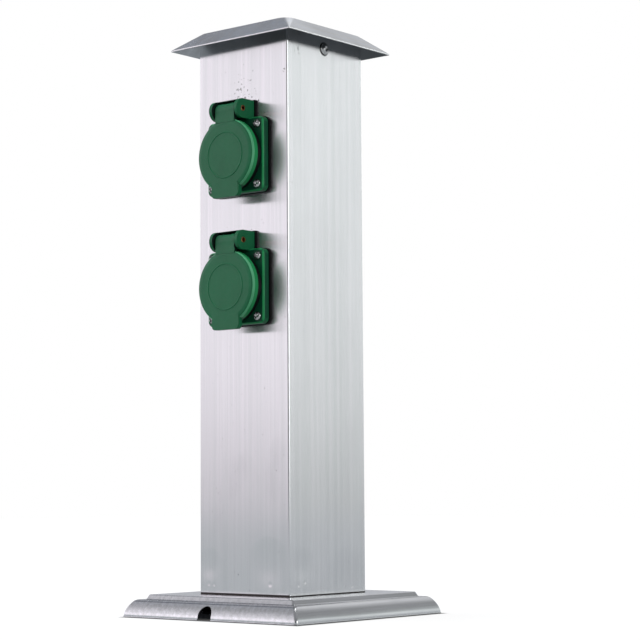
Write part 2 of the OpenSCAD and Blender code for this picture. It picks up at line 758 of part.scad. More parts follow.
module terminal_tubes() color(brass) for (i = [-1:1])
    translate([i*block_x, block_wire_y, block_z - block_h/2 + 1]) difference() {
        cylinder(h = block_h - 2, r = tube_r);
        translate([0, 0, -eps]) cylinder(h = block_h + eps, r = tube_bore);
        for (z = [-5, 5]) translate([0, 0, block_h/2 - 1 + z]) rotate([90, 0, 0])
            cylinder(h = 5, r = 1.3);
    }

module terminal_clamp_screws() color(zinc) for (i = [-1:1], z = [-5, 5])
    translate([i*block_x, block_wire_y - block_d/2 + 1, block_z + z]) rotate([90, 0, 0])
        difference() {
            translate([0, 0, -block_d/2 + 1 + wire_r + 0.3])
                cylinder(h = block_d/2 - 1 - wire_r - 0.3, r = 1.25);
            translate([-2, -0.25, -0.6]) cube([4, 0.5, 2]);
        }

module terminal_mount_screws() color(zinc) for (s = [-1, 1])
    translate([s*block_x/2, block_wire_y - seat_gap, block_z]) rotate([90, 0, 0])
        pan_screw(mount_head_r, 1.2, mount_screw_r, block_d/2 + bracket_plate_t + 1.5);

// Welded stud on the rear wall that earths the post
module earth_stud() color(zinc) translate([stud_x, 0, block_z]) rotate([90, 0, 0])
    translate([0, 0, -col_in + seat_gap]) {
        cylinder(h = 1.2, r = stud_r + 1);
        cylinder(h = col_in - block_wire_y + 5.5, r = stud_r);
    }

module earth_nuts() color(zinc) for (s = [-1, 1])
    translate([stud_x, block_wire_y - s*(lug_t/2 + seat_gap) + (s > 0 ? 0 : 4), block_z])
        rotate([90, 0, 0]) hex_nut(8, 4, stud_r + hinge_play);

module earth_lug() color(brass) translate([stud_x, block_wire_y, block_z]) {
    rotate([90, 0, 0]) difference() {
        union() {
            cylinder(h = lug_t, r = 4.6, center = true);
            translate([-2, -8, -lug_t/2]) cube([4, 5, lug_t]);
        }
        cylinder(h = 3*lug_t, r = stud_r + 0.2, center = true);
    }
    translate([0, 0, -13]) difference() {
        cylinder(h = 5.5, r = 2.1);
        translate([0, 0, -eps]) cylinder(h = 5, r = wire_r + seat_gap);
    }
}

// Points of a round bend at the square corner c, between the points p and q
function bend(p, c, q) = let (d = (p - c)/norm(p - c), e = (q - c)/norm(q - c))
    [for (i = [0:bend_steps]) let (t = 90*i/bend_steps)
        c + lead_bend*(d*(1 - sin(t)) + e*(1 - cos(t)))];

// Path through square corners, each turned into a round bend
function bent_path(p) = concat([p[0]],
    [for (i = [1:len(p) - 2]) each bend(p[i - 1], p[i], p[i + 1])], [p[len(p) - 1]]);

// Lead from the terminal block to the lower socket and on to the upper one
module lead(x, drop) {
    from = [x, block_wire_y, block_z + 2];
    to = [x, wire_y, lower_z - drop - 0.4];
    sweep(bent_path([from, [x, from[1], cross_z], [x, to[1], cross_z], to]), wire_r, lead_sides);
    sweep([to + [0, 0, 0.8], to + [0, 0, socket_pitch]], wire_r, lead_sides);
}

module lead_line() color("#6b4126") lead(-block_x, 0);
module lead_neutral() color("#2c5fa8") lead(block_x, 0);

module lead_earth() color("#7aa52c") {
    lead(0, earth_down);
    from = [0, block_wire_y, block_z - 2];
    to = [stud_x, block_wire_y, block_z - 9];
    sweep(bent_path([from, [from[0], from[1], loop_z], [to[0], to[1], loop_z], to]),
          wire_r, lead_sides, [0, 1, 0]);
}

column_tube();
roof_hat();
roof_strap();
roof_screws();
base_cover();
anchor_plate();
foot_brackets();
foot_screws();
terminal_bracket();
terminal_block();
terminal_tubes();
terminal_clamp_screws();
terminal_mount_screws();
earth_stud();
earth_nuts();
earth_lug();
lead_line();
lead_neutral();
lead_earth();
at_socket(upper_z) gasket();  // upper_gasket
at_socket(upper_z) housing();  // upper_housing
at_socket(upper_z) insert();  // upper_insert
at_socket(upper_z) pin_plate();  // upper_pin_plate
at_socket(upper_z) insert_screw();  // upper_insert_screw
at_socket(upper_z) contact_carrier();  // upper_contact_carrier
at_socket(upper_z) line_contacts();  // upper_line_contacts
at_socket(upper_z) earth_clip();  // upper_earth_clip
at_socket(upper_z) contact_screws();  // upper_contact_screws
at_socket(upper_z) flange_screws();  // upper_flange_screws
at_socket(upper_z) flange_nuts();  // upper_flange_nuts
at_socket(upper_z) hinge_pin();  // upper_hinge_pin
at_socket(upper_z) lid_spring();  // upper_lid_spring
at_socket(upper_z) lid();  // upper_lid
at_socket(upper_z) lid_seal();  // upper_lid_seal
at_socket(lower_z) gasket();  // lower_gasket
at_socket(lower_z) housing();  // lower_housing
at_socket(lower_z) insert();  // lower_insert
at_socket(lower_z) pin_plate();  // lower_pin_plate
at_socket(lower_z) insert_screw();  // lower_insert_screw
at_socket(lower_z) contact_carrier();  // lower_contact_carrier
at_socket(lower_z) line_contacts();  // lower_line_contacts
at_socket(lower_z) earth_clip();  // lower_earth_clip
at_socket(lower_z) contact_screws();  // lower_contact_screws
at_socket(lower_z) flange_screws();  // lower_flange_screws
at_socket(lower_z) flange_nuts();  // lower_flange_nuts
at_socket(lower_z) hinge_pin();  // lower_hinge_pin
at_socket(lower_z) lid_spring();  // lower_lid_spring
at_socket(lower_z) lid();  // lower_lid
at_socket(lower_z) lid_seal();  // lower_lid_seal
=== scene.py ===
"""Looks of a garden socket post: a brushed steel column on a pressed foot, two lidded sockets.

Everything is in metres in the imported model's frame: origin at the bottom centre, +Z up, and the
sockets face -Y. The sheet metal, the mouldings, the visible screws, the springs and the leads
are finer pieces that stand for their solids. The other solids stay and get a better finish.
"""

from __future__ import annotations

import logging
import math
from dataclasses import dataclass, replace
from enum import Enum
from functools import partial
from typing import Callable, Iterable, Sequence

import bmesh
import bpy
from mathutils import Matrix, Vector


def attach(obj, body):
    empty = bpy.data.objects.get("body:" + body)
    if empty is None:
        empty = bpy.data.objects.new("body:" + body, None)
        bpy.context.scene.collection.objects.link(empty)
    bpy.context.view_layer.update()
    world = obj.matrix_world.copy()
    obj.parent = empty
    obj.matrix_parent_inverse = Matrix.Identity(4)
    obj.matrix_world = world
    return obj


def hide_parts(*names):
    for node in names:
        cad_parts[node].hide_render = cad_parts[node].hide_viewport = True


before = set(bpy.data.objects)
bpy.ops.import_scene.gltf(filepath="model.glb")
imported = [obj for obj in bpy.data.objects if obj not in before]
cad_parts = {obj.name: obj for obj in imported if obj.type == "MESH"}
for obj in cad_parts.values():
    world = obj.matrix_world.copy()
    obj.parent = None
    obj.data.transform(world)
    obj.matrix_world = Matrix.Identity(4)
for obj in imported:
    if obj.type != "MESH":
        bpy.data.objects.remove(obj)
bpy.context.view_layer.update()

LOG = logging.getLogger("socket_post")
MM = 0.001
PER_CORNER = 8  # facets of a sheet's round corner, seen from above

Point2 = tuple[float, float]
Point3 = tuple[float, float, float]
Adder = Callable[..., bpy.types.Node]  # add_node for one tree

HEIGHTS: dict[str, float] = {"upper": 305.5, "lower": 217.5}  # middle of each socket
ROOF_SCREW: Point2 = (-1.0, 380.6)  # y and z of the two screws that hold the roof


# Colour and node helpers


def linear(code: str) -> tuple[float, float, float, float]:
    """Turn an sRGB hex colour into linear values.

    Args:
        code: Colour as "#rrggbb".

    Returns:
        Red, green, blue and an opacity of 1.
    """
    channels = [int(code[i : i + 2], 16) / 255 for i in (1, 3, 5)]
    red, green, blue = (
        c / 12.92 if c <= 0.04045 else ((c + 0.055) / 1.055) ** 2.4 for c in channels
    )
    return red, green, blue, 1.0


WHITE = linear("#ffffff")


def feed(node: bpy.types.Node, inputs: dict[str | int, object]) -> bpy.types.Node:
    """Give the inputs of a node their values and links.

    Args:
        node: Node of any tree.
        inputs: Names or numbers of inputs, each with a value, with the output that feeds it, or
            with the node whose first output feeds it.

    Returns:
        The same node.
    """
    for key, value in inputs.items():
        source = value.outputs[0] if isinstance(value, bpy.types.Node) else value
        if isinstance(source, bpy.types.NodeSocket):
            node.id_data.links.new(source, node.inputs[key])
        else:
            node.inputs[key].default_value = source
    return node


def add_node(
    tree: bpy.types.NodeTree,
    kind: str,
    settings: dict[str, object] | None = None,
    inputs: dict[str | int, object] | None = None,
) -> bpy.types.Node:
    """Add one node to a tree with its settings and links.

    Args:
        tree: Node tree of a material, of the world or of a modifier.
        kind: Type name of the node.
        settings: Attributes of the node and their values.
        inputs: Values and links of its inputs, written as feed takes them.

    Returns:
        The new node.
    """
    node = tree.nodes.new(kind)
    for key, value in (settings or {}).items():
        setattr(node, key, value)
    return feed(node, inputs or {})


def stretch(source: Sequence[float], target: Sequence[float]) -> dict[str | int, object]:
    """Name the ends of two spans as the inputs of a range node."""
    keys = ("From Min", "From Max", "To Min", "To Max")
    return dict(zip(keys, (*source, *target)))


# Finishes

PATTERN_SPAN = (0.3, 0.7)  # a noise rarely leaves it


class Grain(Enum):
    """Way that the brush lines of a sheet run, as an axis of the post."""

    UPRIGHT = (0.0, 0.0, 1.0)
    FRONT_TO_BACK = (0.0, 1.0, 0.0)


@dataclass(frozen=True)
class Finish:
    """What every finish has: a name, and a Principled shader with a noise driven surface."""

    name: str

    def start(self) -> tuple[bpy.types.Material, Adder, bpy.types.Node]:
        """Make an empty material.

        Returns:
            The material, what adds a node to its tree, and its Principled shader.
        """
        material = bpy.data.materials.new(self.name)
        material.use_nodes = True
        material.node_tree.nodes.clear()
        add = partial(add_node, material.node_tree)
        shader = add("ShaderNodeBsdfPrincipled")
        add("ShaderNodeOutputMaterial", None, {"Surface": shader})
        return material, add, shader

    def pattern(
        self, add: Adder, size: Sequence[float], detail: float, shift: float = 0.0
    ) -> bpy.types.Node:
        """Add a pattern that is fixed to the post: its coordinates, scaled, and a noise on them.

        Args:
            add: Adds a node to the material.
            size: Size of the pattern along each axis, in millimetres.
            detail: Octaves of the noise.
            shift: Distance that moves the pattern, so that two finishes differ.

        Returns:
            The noise, with its value mostly within PATTERN_SPAN.
        """
        place = add("ShaderNodeTexCoord").outputs["Object"]
        scale = {0: place, 1: [1 / (s * MM) for s in size], 2: [shift] * 3}
        scaled = add("ShaderNodeVectorMath", {"operation": "MULTIPLY_ADD"}, scale)
        noise = {"Vector": scaled, "Scale": 1.0, "Detail": detail, "Roughness": 0.55}
        return add("ShaderNodeTexNoise", None, noise)

    def mixed(
        self,
        add: Adder,
        value: object,
        shares: Point2,
        first: object,
        second: object,
        span: Point2 = PATTERN_SPAN,
        way: str = "MIX",
        step: str = "LINEAR",
    ) -> bpy.types.NodeSocket:
        """Mix two colours by how far a value has come from one end of a span to the other.

        Args:
            add: Adds a node to the material.
            value: Node or output with the value, such as a pattern.
            shares: Share of the second colour at the start and at the end of the span.
            first: First colour, or the output that gives it.
            second: Second colour, or the output that gives it.
            span: Values where the change starts and ends.
            way: Name of the mixing mode.
            step: Name of the interpolation between the ends.

        Returns:
            The mixed colour.
        """
        ends = {"Value": value, **stretch(span, shares)}
        share = add("ShaderNodeMapRange", {"interpolation_type": step}, ends)
        colours = {0: share, 6: first, 7: second}
        return add("ShaderNodeMix", {"data_type": "RGBA", "blend_type": way}, colours).outputs[2]

    def dulled(
        self, add: Adder, shader: bpy.types.Node, pattern: bpy.types.Node, span: Sequence[float]
    ) -> None:
        """Vary the shader's roughness by a pattern.

        Args:
            add: Adds a node to the material.
            shader: Principled shader.
            pattern: Node with the pattern.
            span: Roughness where the pattern is weak and where it is strong.
        """
        ends = {"Value": pattern, **stretch(PATTERN_SPAN, span)}
        feed(shader, {"Roughness": add("ShaderNodeMapRange", None, ends)})

    def away(self, add: Adder, centre: Point3) -> bpy.types.NodeSocket:
        """Measure how far the surface is from a spot.

        Args:
            add: Adds a node to the material.
            centre: The spot, in millimetres.

        Returns:
            The distance in metres.
        """
        place = add("ShaderNodeTexCoord").outputs["Object"]
        ends = {0: place, 1: [c * MM for c in centre]}
        return add("ShaderNodeVectorMath", {"operation": "DISTANCE"}, ends).outputs["Value"]

    def fading(self, add: Adder, centre: Point3, radius: float, value: float) -> bpy.types.Node:
        """Give a value that is strongest in the middle of a round spot and fades to its edge.

        Args:
            add: Adds a node to the material.
            centre: Middle of the spot, in millimetres.
            radius: Radius of the spot.
            value: Value in the middle.

        Returns:
            The node with the value.
        """
        ends = {"Value": self.away(add, centre), **stretch((0.0, radius * MM), (value, 0.0))}
        return add("ShaderNodeMapRange", {"interpolation_type": "SMOOTHSTEP"}, ends)


@dataclass(frozen=True)
class BrushedSheet(Finish):
    """Stainless steel sheet, brushed with a belt.

    The long scratches blur what the sheet mirrors sideways and keep it sharp along them, and they
    show as faint lines. The sheet is also slightly wavy from being bent and welded.
    """

    colour: str = "#e9e8eb"
    shade: str = "#e1e0e3"
    grain: Grain = Grain.UPRIGHT
    roughness: float = 0.2
    line_rough: float = 0.015  # change of the roughness over the lines
    cloud_rough: Point2 = (-0.01, 0.02)  # and over the smudges
    anisotropy: float = 1.0
    line_mm: float = 0.9  # real lines are 0.1 to 0.3 mm apart, too fine for a pixel of 0.7 mm
    line_len_mm: float = 110.0
    scratch_mm: float = 0.00045  # depth of a line
    band_tone: str = "#dddee0"
    band_width: float = 3.5  # size of a faint band, in widths and in lengths of a line
    band_length: float = 4.0
    wave_mm: float = 90.0
    wave_height_mm: float = 0.16
    smudge_mm: float = 34.0
    smudge_run_mm: float = 40.0  # smudges are this much longer along the grain
    smudge: float = 0.08
    clean: float = -0.2  # below 0, so that only the strongest parts of the pattern are smudged
    smudge_tone: str = "#b4b5b8"
    dents: tuple[tuple[Point3, float, float], ...] = ()  # centre, radius and depth in millimetres
    specks: tuple[tuple[Point3, float], ...] = ()  # soiled spots: centre, radius
    speck_mm: float = 1.7
    speck_tone: str = "#6f716f"
    speck_share: float = 0.6
    speck_pull: float = 0.2  # the middle of a soiled spot lifts the noise by this much
    speck_span: Point2 = (0.78, 0.84)  # values of that noise where a speck starts and is full
    seats: tuple[tuple[Point3, float], ...] = ()  # screw heads ringed with painted shade: centre, radius
    seat_mm: float = 1.0  # width of that painted shade
    seat_shade_tone: str = "#17181a"
    crevice_z: float = 0.0  # painted shade of the gap round the sheet reaches up to here
    crevice_front: float = 0.5  # and this much higher in front
    crevice_blur: float = 0.3
    crevice_share: float = 0.96
    crevice_shade_tone: str = "#231c1a"
    front_y: float = -39.3  # what lies before it belongs to the front face

    def build(self) -> bpy.types.Material:
        """Build the material.

        Returns:
            The material, with its brush lines along the grain.
        """
        material, add, shader = self.start()
        along = self.grain.value
        line, band = (self.line_mm, self.line_len_mm), (self.band_width, self.band_length)
        lines = self.pattern(add, [line[int(a)] for a in along], detail=3.0, shift=3.1)
        strip = [line[int(a)] * band[int(a)] for a in along]
        bands = self.pattern(add, strip, detail=3.0, shift=7.7)
        patch = [self.smudge_mm + self.smudge_run_mm * a for a in along]
        clouds = self.pattern(add, patch, detail=4.0, shift=1.3)
        full = (0.0, 1.0)
        tone = self.mixed(add, lines, full, linear(self.colour), linear(self.shade))
        tone = self.mixed(add, bands, full, tone, linear(self.band_tone))
        dirt = linear(self.smudge_tone)
        tone = self.mixed(add, clouds, (self.clean, self.smudge), tone, dirt, way="MULTIPLY")
        if self.specks:
            tone = self.specked(add, tone)
        for centre, radius in self.seats:
            # painted shade in a ring round each screw head
            far, dirt = self.away(add, centre), linear(self.seat_shade_tone)
            ring = (radius * MM, (radius + self.seat_mm) * MM)
            tone = self.mixed(add, far, (1.0, 0.0), tone, dirt, ring, step="SMOOTHSTEP")
        if self.crevice_z:
            tone = self.shaded_below(add, tone)
        spread = (self.roughness - self.line_rough, self.roughness + self.line_rough)
        changes = [
            add("ShaderNodeMapRange", None, {"Value": value, **stretch(PATTERN_SPAN, span)})
            for value, span in ((lines, spread), (clouds, self.cloud_rough))
        ]
        rough = add("ShaderNodeMath", None, {0: changes[0], 1: changes[1]})
        wave = self.pattern(add, [self.wave_mm] * 3, detail=1.0, shift=11.0)
        slow = {"Strength": 1.0, "Distance": self.wave_height_mm * MM, "Height": wave}
        normal = self.pitted(add, add("ShaderNodeBump", None, slow))
        fine = {"Strength": 0.6, "Distance": self.scratch_mm * MM, "Height": lines}
        scratch = add("ShaderNodeBump", None, {**fine, "Normal": normal})
        facing = add("ShaderNodeTexCoord").outputs["Normal"]
        cross = {"operation": "CROSS_PRODUCT"}
        across = add("ShaderNodeVectorMath", cross, {0: facing, 1: list(along)})
        feed(shader, {"Base Color": tone, "Roughness": rough, "Normal": scratch})
        feed(shader, {"Tangent": across, "Metallic": 1.0, "Anisotropic": self.anisotropy})
        return material

    def specked(self, add: Adder, tone: bpy.types.NodeSocket) -> bpy.types.NodeSocket:
        """Scatter a few small dark specks over the soiled spots.

        Args:
            add: Adds a node to the material.
            tone: Colour of the sheet without them.

        Returns:
            The colour with the specks.
        """
        dots = self.pattern(add, [self.speck_mm] * 3, detail=1.0, shift=21.0)
        shares, dirt = (0.0, self.speck_share), linear(self.speck_tone)
        for centre, radius in self.specks:
            near = self.fading(add, centre, radius, self.speck_pull)
            thick = add("ShaderNodeMath", None, {0: dots, 1: near})
            tone = self.mixed(add, thick, shares, tone, dirt, self.speck_span)
        return tone

    def shaded_below(self, add: Adder, tone: bpy.types.NodeSocket) -> bpy.types.NodeSocket:
        """Paint shade on the sheet just above the gap that it comes out of.

        Args:
            add: Adds a node to the material.
            tone: Colour of the sheet without the gap's painted shade.

        Returns:
            The colour with it.
        """
        place = add("ShaderNodeTexCoord").outputs["Object"]
        sides = add("ShaderNodeSeparateXYZ", None, {0: place}).outputs
        edge = {0: sides["Y"], 1: self.front_y * MM}
        front = add("ShaderNodeMath", {"operation": "LESS_THAN"}, edge)
        drop = {0: front, 1: -self.crevice_front * MM, 2: sides["Z"]}
        lowered = add("ShaderNodeMath", {"operation": "MULTIPLY_ADD"}, drop)
        ends = (self.crevice_z * MM, (self.crevice_z + self.crevice_blur) * MM)
        # the dark tone here is painted shade
        shares, dirt = (self.crevice_share, 0.0), linear(self.crevice_shade_tone)
        return self.mixed(add, lowered, shares, tone, dirt, ends)

    def pitted(self, add: Adder, normal: bpy.types.Node) -> bpy.types.Node:
        """Press the marks of the spot welds into the surface.

        Args:
            add: Adds a node to the material.
            normal: Node with the normal of the surface without them.

        Returns:
            The node with the normal that has the marks.
        """
        if not self.dents:
            return normal
        depth, *pits = [self.fading(add, *dent) for dent in self.dents]
        for pit in pits:
            depth = add("ShaderNodeMath", None, {0: depth, 1: pit})
        marks = {"Strength": 1.0, "Distance": MM, "Height": depth, "Normal": normal}
        return add("ShaderNodeBump", {"invert": True}, marks)


@dataclass(frozen=True)
class EaveSheet(Finish):
    """Unbrushed underside of the roof, dull, and painted dark as shade where it is sheltered.

    Its left eave keeps a lighter tone, and the rest is painted shade, which makes the dark band
    that the column mirrors under the roof. Random stains in a dirt colour lie over all of it.
    """

    unshaded_tone: str = "#c4c8cc"
    # painted shade: the tone of the sheltered underside
    dull: str = "#63676a"
    dirt: str = "#45413c"
    unshaded_to_mm: float = -43.0
    painted_shade_from_mm: float = -38.5
    roughness: float = 0.34
    spread: Point2 = (-0.05, 0.12)  # change of the roughness over the stains
    stain_mm: float = 14.0
    stain: float = 0.3

    def build(self) -> bpy.types.Material:
        """Build the material.

        Returns:
            The material, with its painted shade changing along the post's x axis.
        """
        material, add, shader = self.start()
        stain = self.pattern(add, [self.stain_mm] * 3, detail=4.0, shift=8.0)
        place = add("ShaderNodeTexCoord").outputs["Object"]
        right = add("ShaderNodeSeparateXYZ", None, {0: place}).outputs["X"]
        ends = (self.unshaded_to_mm * MM, self.painted_shade_from_mm * MM)
        clean, dull = linear(self.unshaded_tone), linear(self.dull)
        base = self.mixed(add, right, (0.0, 1.0), clean, dull, ends, step="SMOOTHSTEP")
        tone = self.mixed(add, stain, (0.0, self.stain), base, linear(self.dirt))
        self.dulled(add, shader, stain, [self.roughness + s for s in self.spread])
        feed(shader, {"Base Color": tone, "Metallic": 1.0})
        return material


@dataclass(frozen=True)
class CastMetal(Finish):
    """Small metal piece, plated, turned or stamped: even, slightly mottled and softly glossy."""

    colour: str = "#b9bcc0"
    shade: str = "#9a9da2"
    roughness: float = 0.32
    mottle_mm: float = 1.6
    mottle_height_mm: float = 0.004
    spread: Point2 = (-0.06, 0.1)  # change of the roughness over the slow pattern
    slow: float = 7.0  # size of that pattern, in mottles

    def build(self) -> bpy.types.Material:
        """Build the material.

        Returns:
            The material, mottled at the size of the plating's grain.
        """
        material, add, shader = self.start()
        mottle = self.pattern(add, [self.mottle_mm] * 3, detail=4.0, shift=5.0)
        dull = self.pattern(add, [self.mottle_mm * self.slow] * 3, detail=3.0, shift=2.0)
        tone = self.mixed(add, mottle, (0.0, 1.0), linear(self.colour), linear(self.shade))
        self.dulled(add, shader, dull, [self.roughness + s for s in self.spread])
        relief = {"Strength": 0.8, "Distance": self.mottle_height_mm * MM, "Height": mottle}
        bump = add("ShaderNodeBump", None, relief)
        feed(shader, {"Base Color": tone, "Normal": bump, "Metallic": 1.0})
        return material


@dataclass(frozen=True)
class MouldedPlastic(Finish):
    """Injection moulded plastic or rubber from a spark eroded tool.

    The tool leaves a fine even grit, which makes a satin gloss, and the flow of the melt leaves
    slow changes of tone.
    """

    colour: str = "#0b6f44"
    shade: str = "#0a663e"
    roughness: float = 0.36
    ior: float = 1.5
    specular: float = 0.25
    grit_mm: float = 0.45  # the real grit is about 0.1 mm and would not show
    grit_height_mm: float = 0.006
    flow_mm: float = 16.0
    flow_run: float = 1.6  # the flow marks are this much longer upwards
    spread: Point2 = (-0.04, 0.05)  # change of the roughness over the flow marks
    dust: float = 0.0
    dust_mm: float = 2.2
    dust_tone: str = "#8fa79b"

    def build(self) -> bpy.types.Material:
        """Build the material.

        Returns:
            The material, with grit, flow marks and a trace of dust.
        """
        material, add, shader = self.start()
        grit = self.pattern(add, [self.grit_mm] * 3, detail=2.0, shift=4.0)
        run = [self.flow_mm, self.flow_mm, self.flow_mm * self.flow_run]
        flow = self.pattern(add, run, detail=3.0, shift=9.0)
        tone = self.mixed(add, flow, (0.0, 1.0), linear(self.colour), linear(self.shade))
        if self.dust:
            speck = self.pattern(add, [self.dust_mm] * 3, detail=5.0, shift=6.0)
            tone = self.mixed(add, speck, (0.0, self.dust), tone, linear(self.dust_tone))
        self.dulled(add, shader, flow, [self.roughness + s for s in self.spread])
        relief = {"Strength": 0.7, "Distance": self.grit_height_mm * MM, "Height": grit}
        bump = add("ShaderNodeBump", None, relief)
        feed(shader, {"Base Color": tone, "Normal": bump})
        feed(shader, {"IOR": self.ior, "Specular IOR Level": self.specular})
        return material


@dataclass(frozen=True)
class LeadSheath(Finish):
    """Extruded PVC of a lead, smooth and slightly waxy, with a second colour along one side."""

    colour: str = "#5b3621"
    second: str = ""
    roughness: float = 0.38
    spread: Point2 = (-0.05, 0.08)  # change of the roughness over the wax
    ior: float = 1.52
    wax_mm: Point3 = (1.2, 1.2, 6.0)
    wax_height_mm: float = 0.01
    wax_dark: float = 0.8
    stripe_way: Point3 = (-0.8, -0.6, 0.0)  # the side with the second colour faces this way
    stripe_span: Point2 = (0.28, 0.34)  # how squarely it faces it where the colour changes

    def build(self) -> bpy.types.Material:
        """Build the material.

        Returns:
            The material, with its stripe on the side that faces left and forwards.
        """
        material, add, shader = self.start()
        wax = self.pattern(add, self.wax_mm, detail=3.0, shift=2.5)
        dark = [c * self.wax_dark for c in linear(self.colour)[:3]] + [1.0]
        tone = self.mixed(add, wax, (0.0, 1.0), linear(self.colour), dark)
        if self.second:
            facing = add("ShaderNodeTexCoord").outputs["Normal"]
            ways = {0: facing, 1: self.stripe_way}
            side = add("ShaderNodeVectorMath", {"operation": "DOT_PRODUCT"}, ways)
            stripe, ends = linear(self.second), self.stripe_span
            tone = self.mixed(add, side.outputs["Value"], (0.0, 1.0), tone, stripe, ends)
        relief = {"Strength": 0.5, "Distance": self.wax_height_mm * MM, "Height": wax}
        bump = add("ShaderNodeBump", None, relief)
        self.dulled(add, shader, wax, [self.roughness + s for s in self.spread])
        feed(shader, {"Base Color": tone, "Normal": bump, "IOR": self.ior})
        return material


class Palette:
    """The post's materials, by the name of the record's slot that each belongs to."""

    def __init__(self, finishes: Iterable[tuple[str, Finish]]) -> None:
        """Build each finish once.

        Args:
            finishes: Slot names and their finishes.
        """
        self.materials = {slot: finish.build() for slot, finish in finishes}

    def dress(self, node: str, slot: str) -> None:
        """Give a CAD node's object its finish.

        Args:
            node: Name of the CAD node.
            slot: Slot whose material it gets.
        """
        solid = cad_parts[node]
        for place in solid.material_slots:
            place.material = self.materials[slot]
        LOG.info("%s keeps its solid, in %s", node, slot)


# Mesh helpers


def piece_from(name: str, mesh: bmesh.types.BMesh) -> bpy.types.Object:
    """Turn a bmesh into an object at the origin, with its faces outwards.

    Args:
        name: Name of the object.
        mesh: Mesh to use up.

    Returns:
        The new object.
    """
    bmesh.ops.remove_doubles(mesh, verts=mesh.verts, dist=1e-7)
    bmesh.ops.recalc_face_normals(mesh, faces=mesh.faces)
    data = bpy.data.meshes.new(name)
    mesh.to_mesh(data)
    mesh.free()
    piece = bpy.data.objects.new(name, data)
    bpy.context.scene.collection.objects.link(piece)
    return piece


def settle(piece: bpy.types.Object) -> bpy.types.Object:
    """Replace an object's mesh by what its modifiers make of it, and remove them.

    Args:
        piece: Object with modifiers.

    Returns:
        The same object, with a plain mesh.
    """
    graph = bpy.context.evaluated_depsgraph_get()
    made = bpy.data.meshes.new_from_object(
        piece.evaluated_get(graph), preserve_all_data_layers=True, depsgraph=graph
    )
    piece.modifiers.clear()
    old, piece.data = piece.data, made
    bpy.data.meshes.remove(old)
    made.name = piece.name
    return piece


def combine(
    piece: bpy.types.Object, tools: Iterable[bpy.types.Object], way: str
) -> bpy.types.Object:
    """Join solids to a solid, or cut them from it, and remove them.

    Args:
        piece: Solid to change.
        tools: Solids to use up.
        way: UNION or DIFFERENCE.

    Returns:
        The changed solid.
    """
    used = list(tools)
    for tool in used:
        step = piece.modifiers.new(way.title(), "BOOLEAN")
        step.operation = way
        step.solver = "EXACT"
        step.object = tool
    settle(piece)
    for tool in used:
        data = tool.data
        bpy.data.objects.remove(tool)
        bpy.data.meshes.remove(data)
    return piece


def smooth(piece: bpy.types.Object, degrees: float = 40.0) -> bpy.types.Object:
    """Shade a piece smooth except over edges that turn by more than an angle.

    Flat faces keep their own normal, so a rounded edge beside one doesn't tint it.

    Args:
        piece: Object to shade.
        degrees: Largest turn that is shaded smooth.

    Returns:
        The same object.
    """
    piece.data.shade_smooth()
    piece.data.set_sharp_from_angle(angle=math.radians(degrees))
    weighted = piece.modifiers.new("Flat faces first", "WEIGHTED_NORMAL")
    weighted.mode = "FACE_AREA_WITH_ANGLE"
    weighted.weight = 90
    weighted.keep_sharp = True
    return settle(piece)


def round_square(half: float, radius: float, facets: int = PER_CORNER) -> list[Point2]:
    """Outline of a square with round corners.

    Args:
        half: Half of its width.
        radius: Radius of its corners.
        facets: Facets of each corner.

    Returns:
        Points, counterclockwise, the same number for every size.
    """
    return round_box(half, half, radius, facets)


def round_box(
    half_x: float, half_y: float, radius: float, facets: int = PER_CORNER
) -> list[Point2]:
    """Outline of a rectangle with round corners.

    Args:
        half_x: Half of its width.
        half_y: Half of its height.
        radius: Radius of its corners.
        facets: Facets of each corner.

    Returns:
        Points, counterclockwise.
    """
    points = []
    for corner, (sx, sy) in enumerate([(1, 1), (-1, 1), (-1, -1), (1, -1)]):
        for step in range(facets + 1):
            turn = math.radians(90 * corner + 90 * step / facets)
            points.append(
                (
                    sx * (half_x - radius) + radius * math.cos(turn),
                    sy * (half_y - radius) + radius * math.sin(turn),
                )
            )
    return points


def arc(centre: Point2, radius: float, start: float, end: float, facets: int) -> list[Point2]:
    """Points of an arc.

    Args:
        centre: Centre of the arc.
        radius: Its radius.
        start: Angle of its first point, in degrees.
        end: Angle of its last point.
        facets: Number of facets.

    Returns:
        The points, both ends among them.
    """
    return [
        (
            centre[0] + radius * math.cos(math.radians(start + (end - start) * i / facets)),
            centre[1] + radius * math.sin(math.radians(start + (end - start) * i / facets)),
        )
        for i in range(facets + 1)
    ]


def loft(name: str, rings: Sequence[Sequence[Point3]], closed: bool = False) -> bpy.types.Object:
    """Skin a row of rings that have the same number of points.

    Args:
        name: Name of the object.
        rings: Rings of points in millimetres.
        closed: Whether the last ring joins the first. Otherwise both get a cap.

    Returns:
        The closed skin as an object.
    """
    mesh = bmesh.new()
    rows = [[mesh.verts.new([c * MM for c in point]) for point in ring] for ring in rings]
    pairs = list(zip(rows, rows[1:])) + ([(rows[-1], rows[0])] if closed else [])
    for low, high in pairs:
        for i in range(len(low)):
            j = (i + 1) % len(low)
            mesh.faces.new((low[i], low[j], high[j], high[i]))
    if not closed:
        mesh.faces.new(rows[0])
        mesh.faces.new(rows[-1])
    return piece_from(name, mesh)


def sheet_rings(profile: Sequence[tuple[float, float, float]]) -> list[list[Point3]]:
    """Rings of a square pressing.

    Args:
        profile: Half width, height and corner radius of each ring.

    Returns:
        The rings.
    """
    return [[(x, y, z) for x, y in round_square(half, radius)] for half, z, radius in profile]


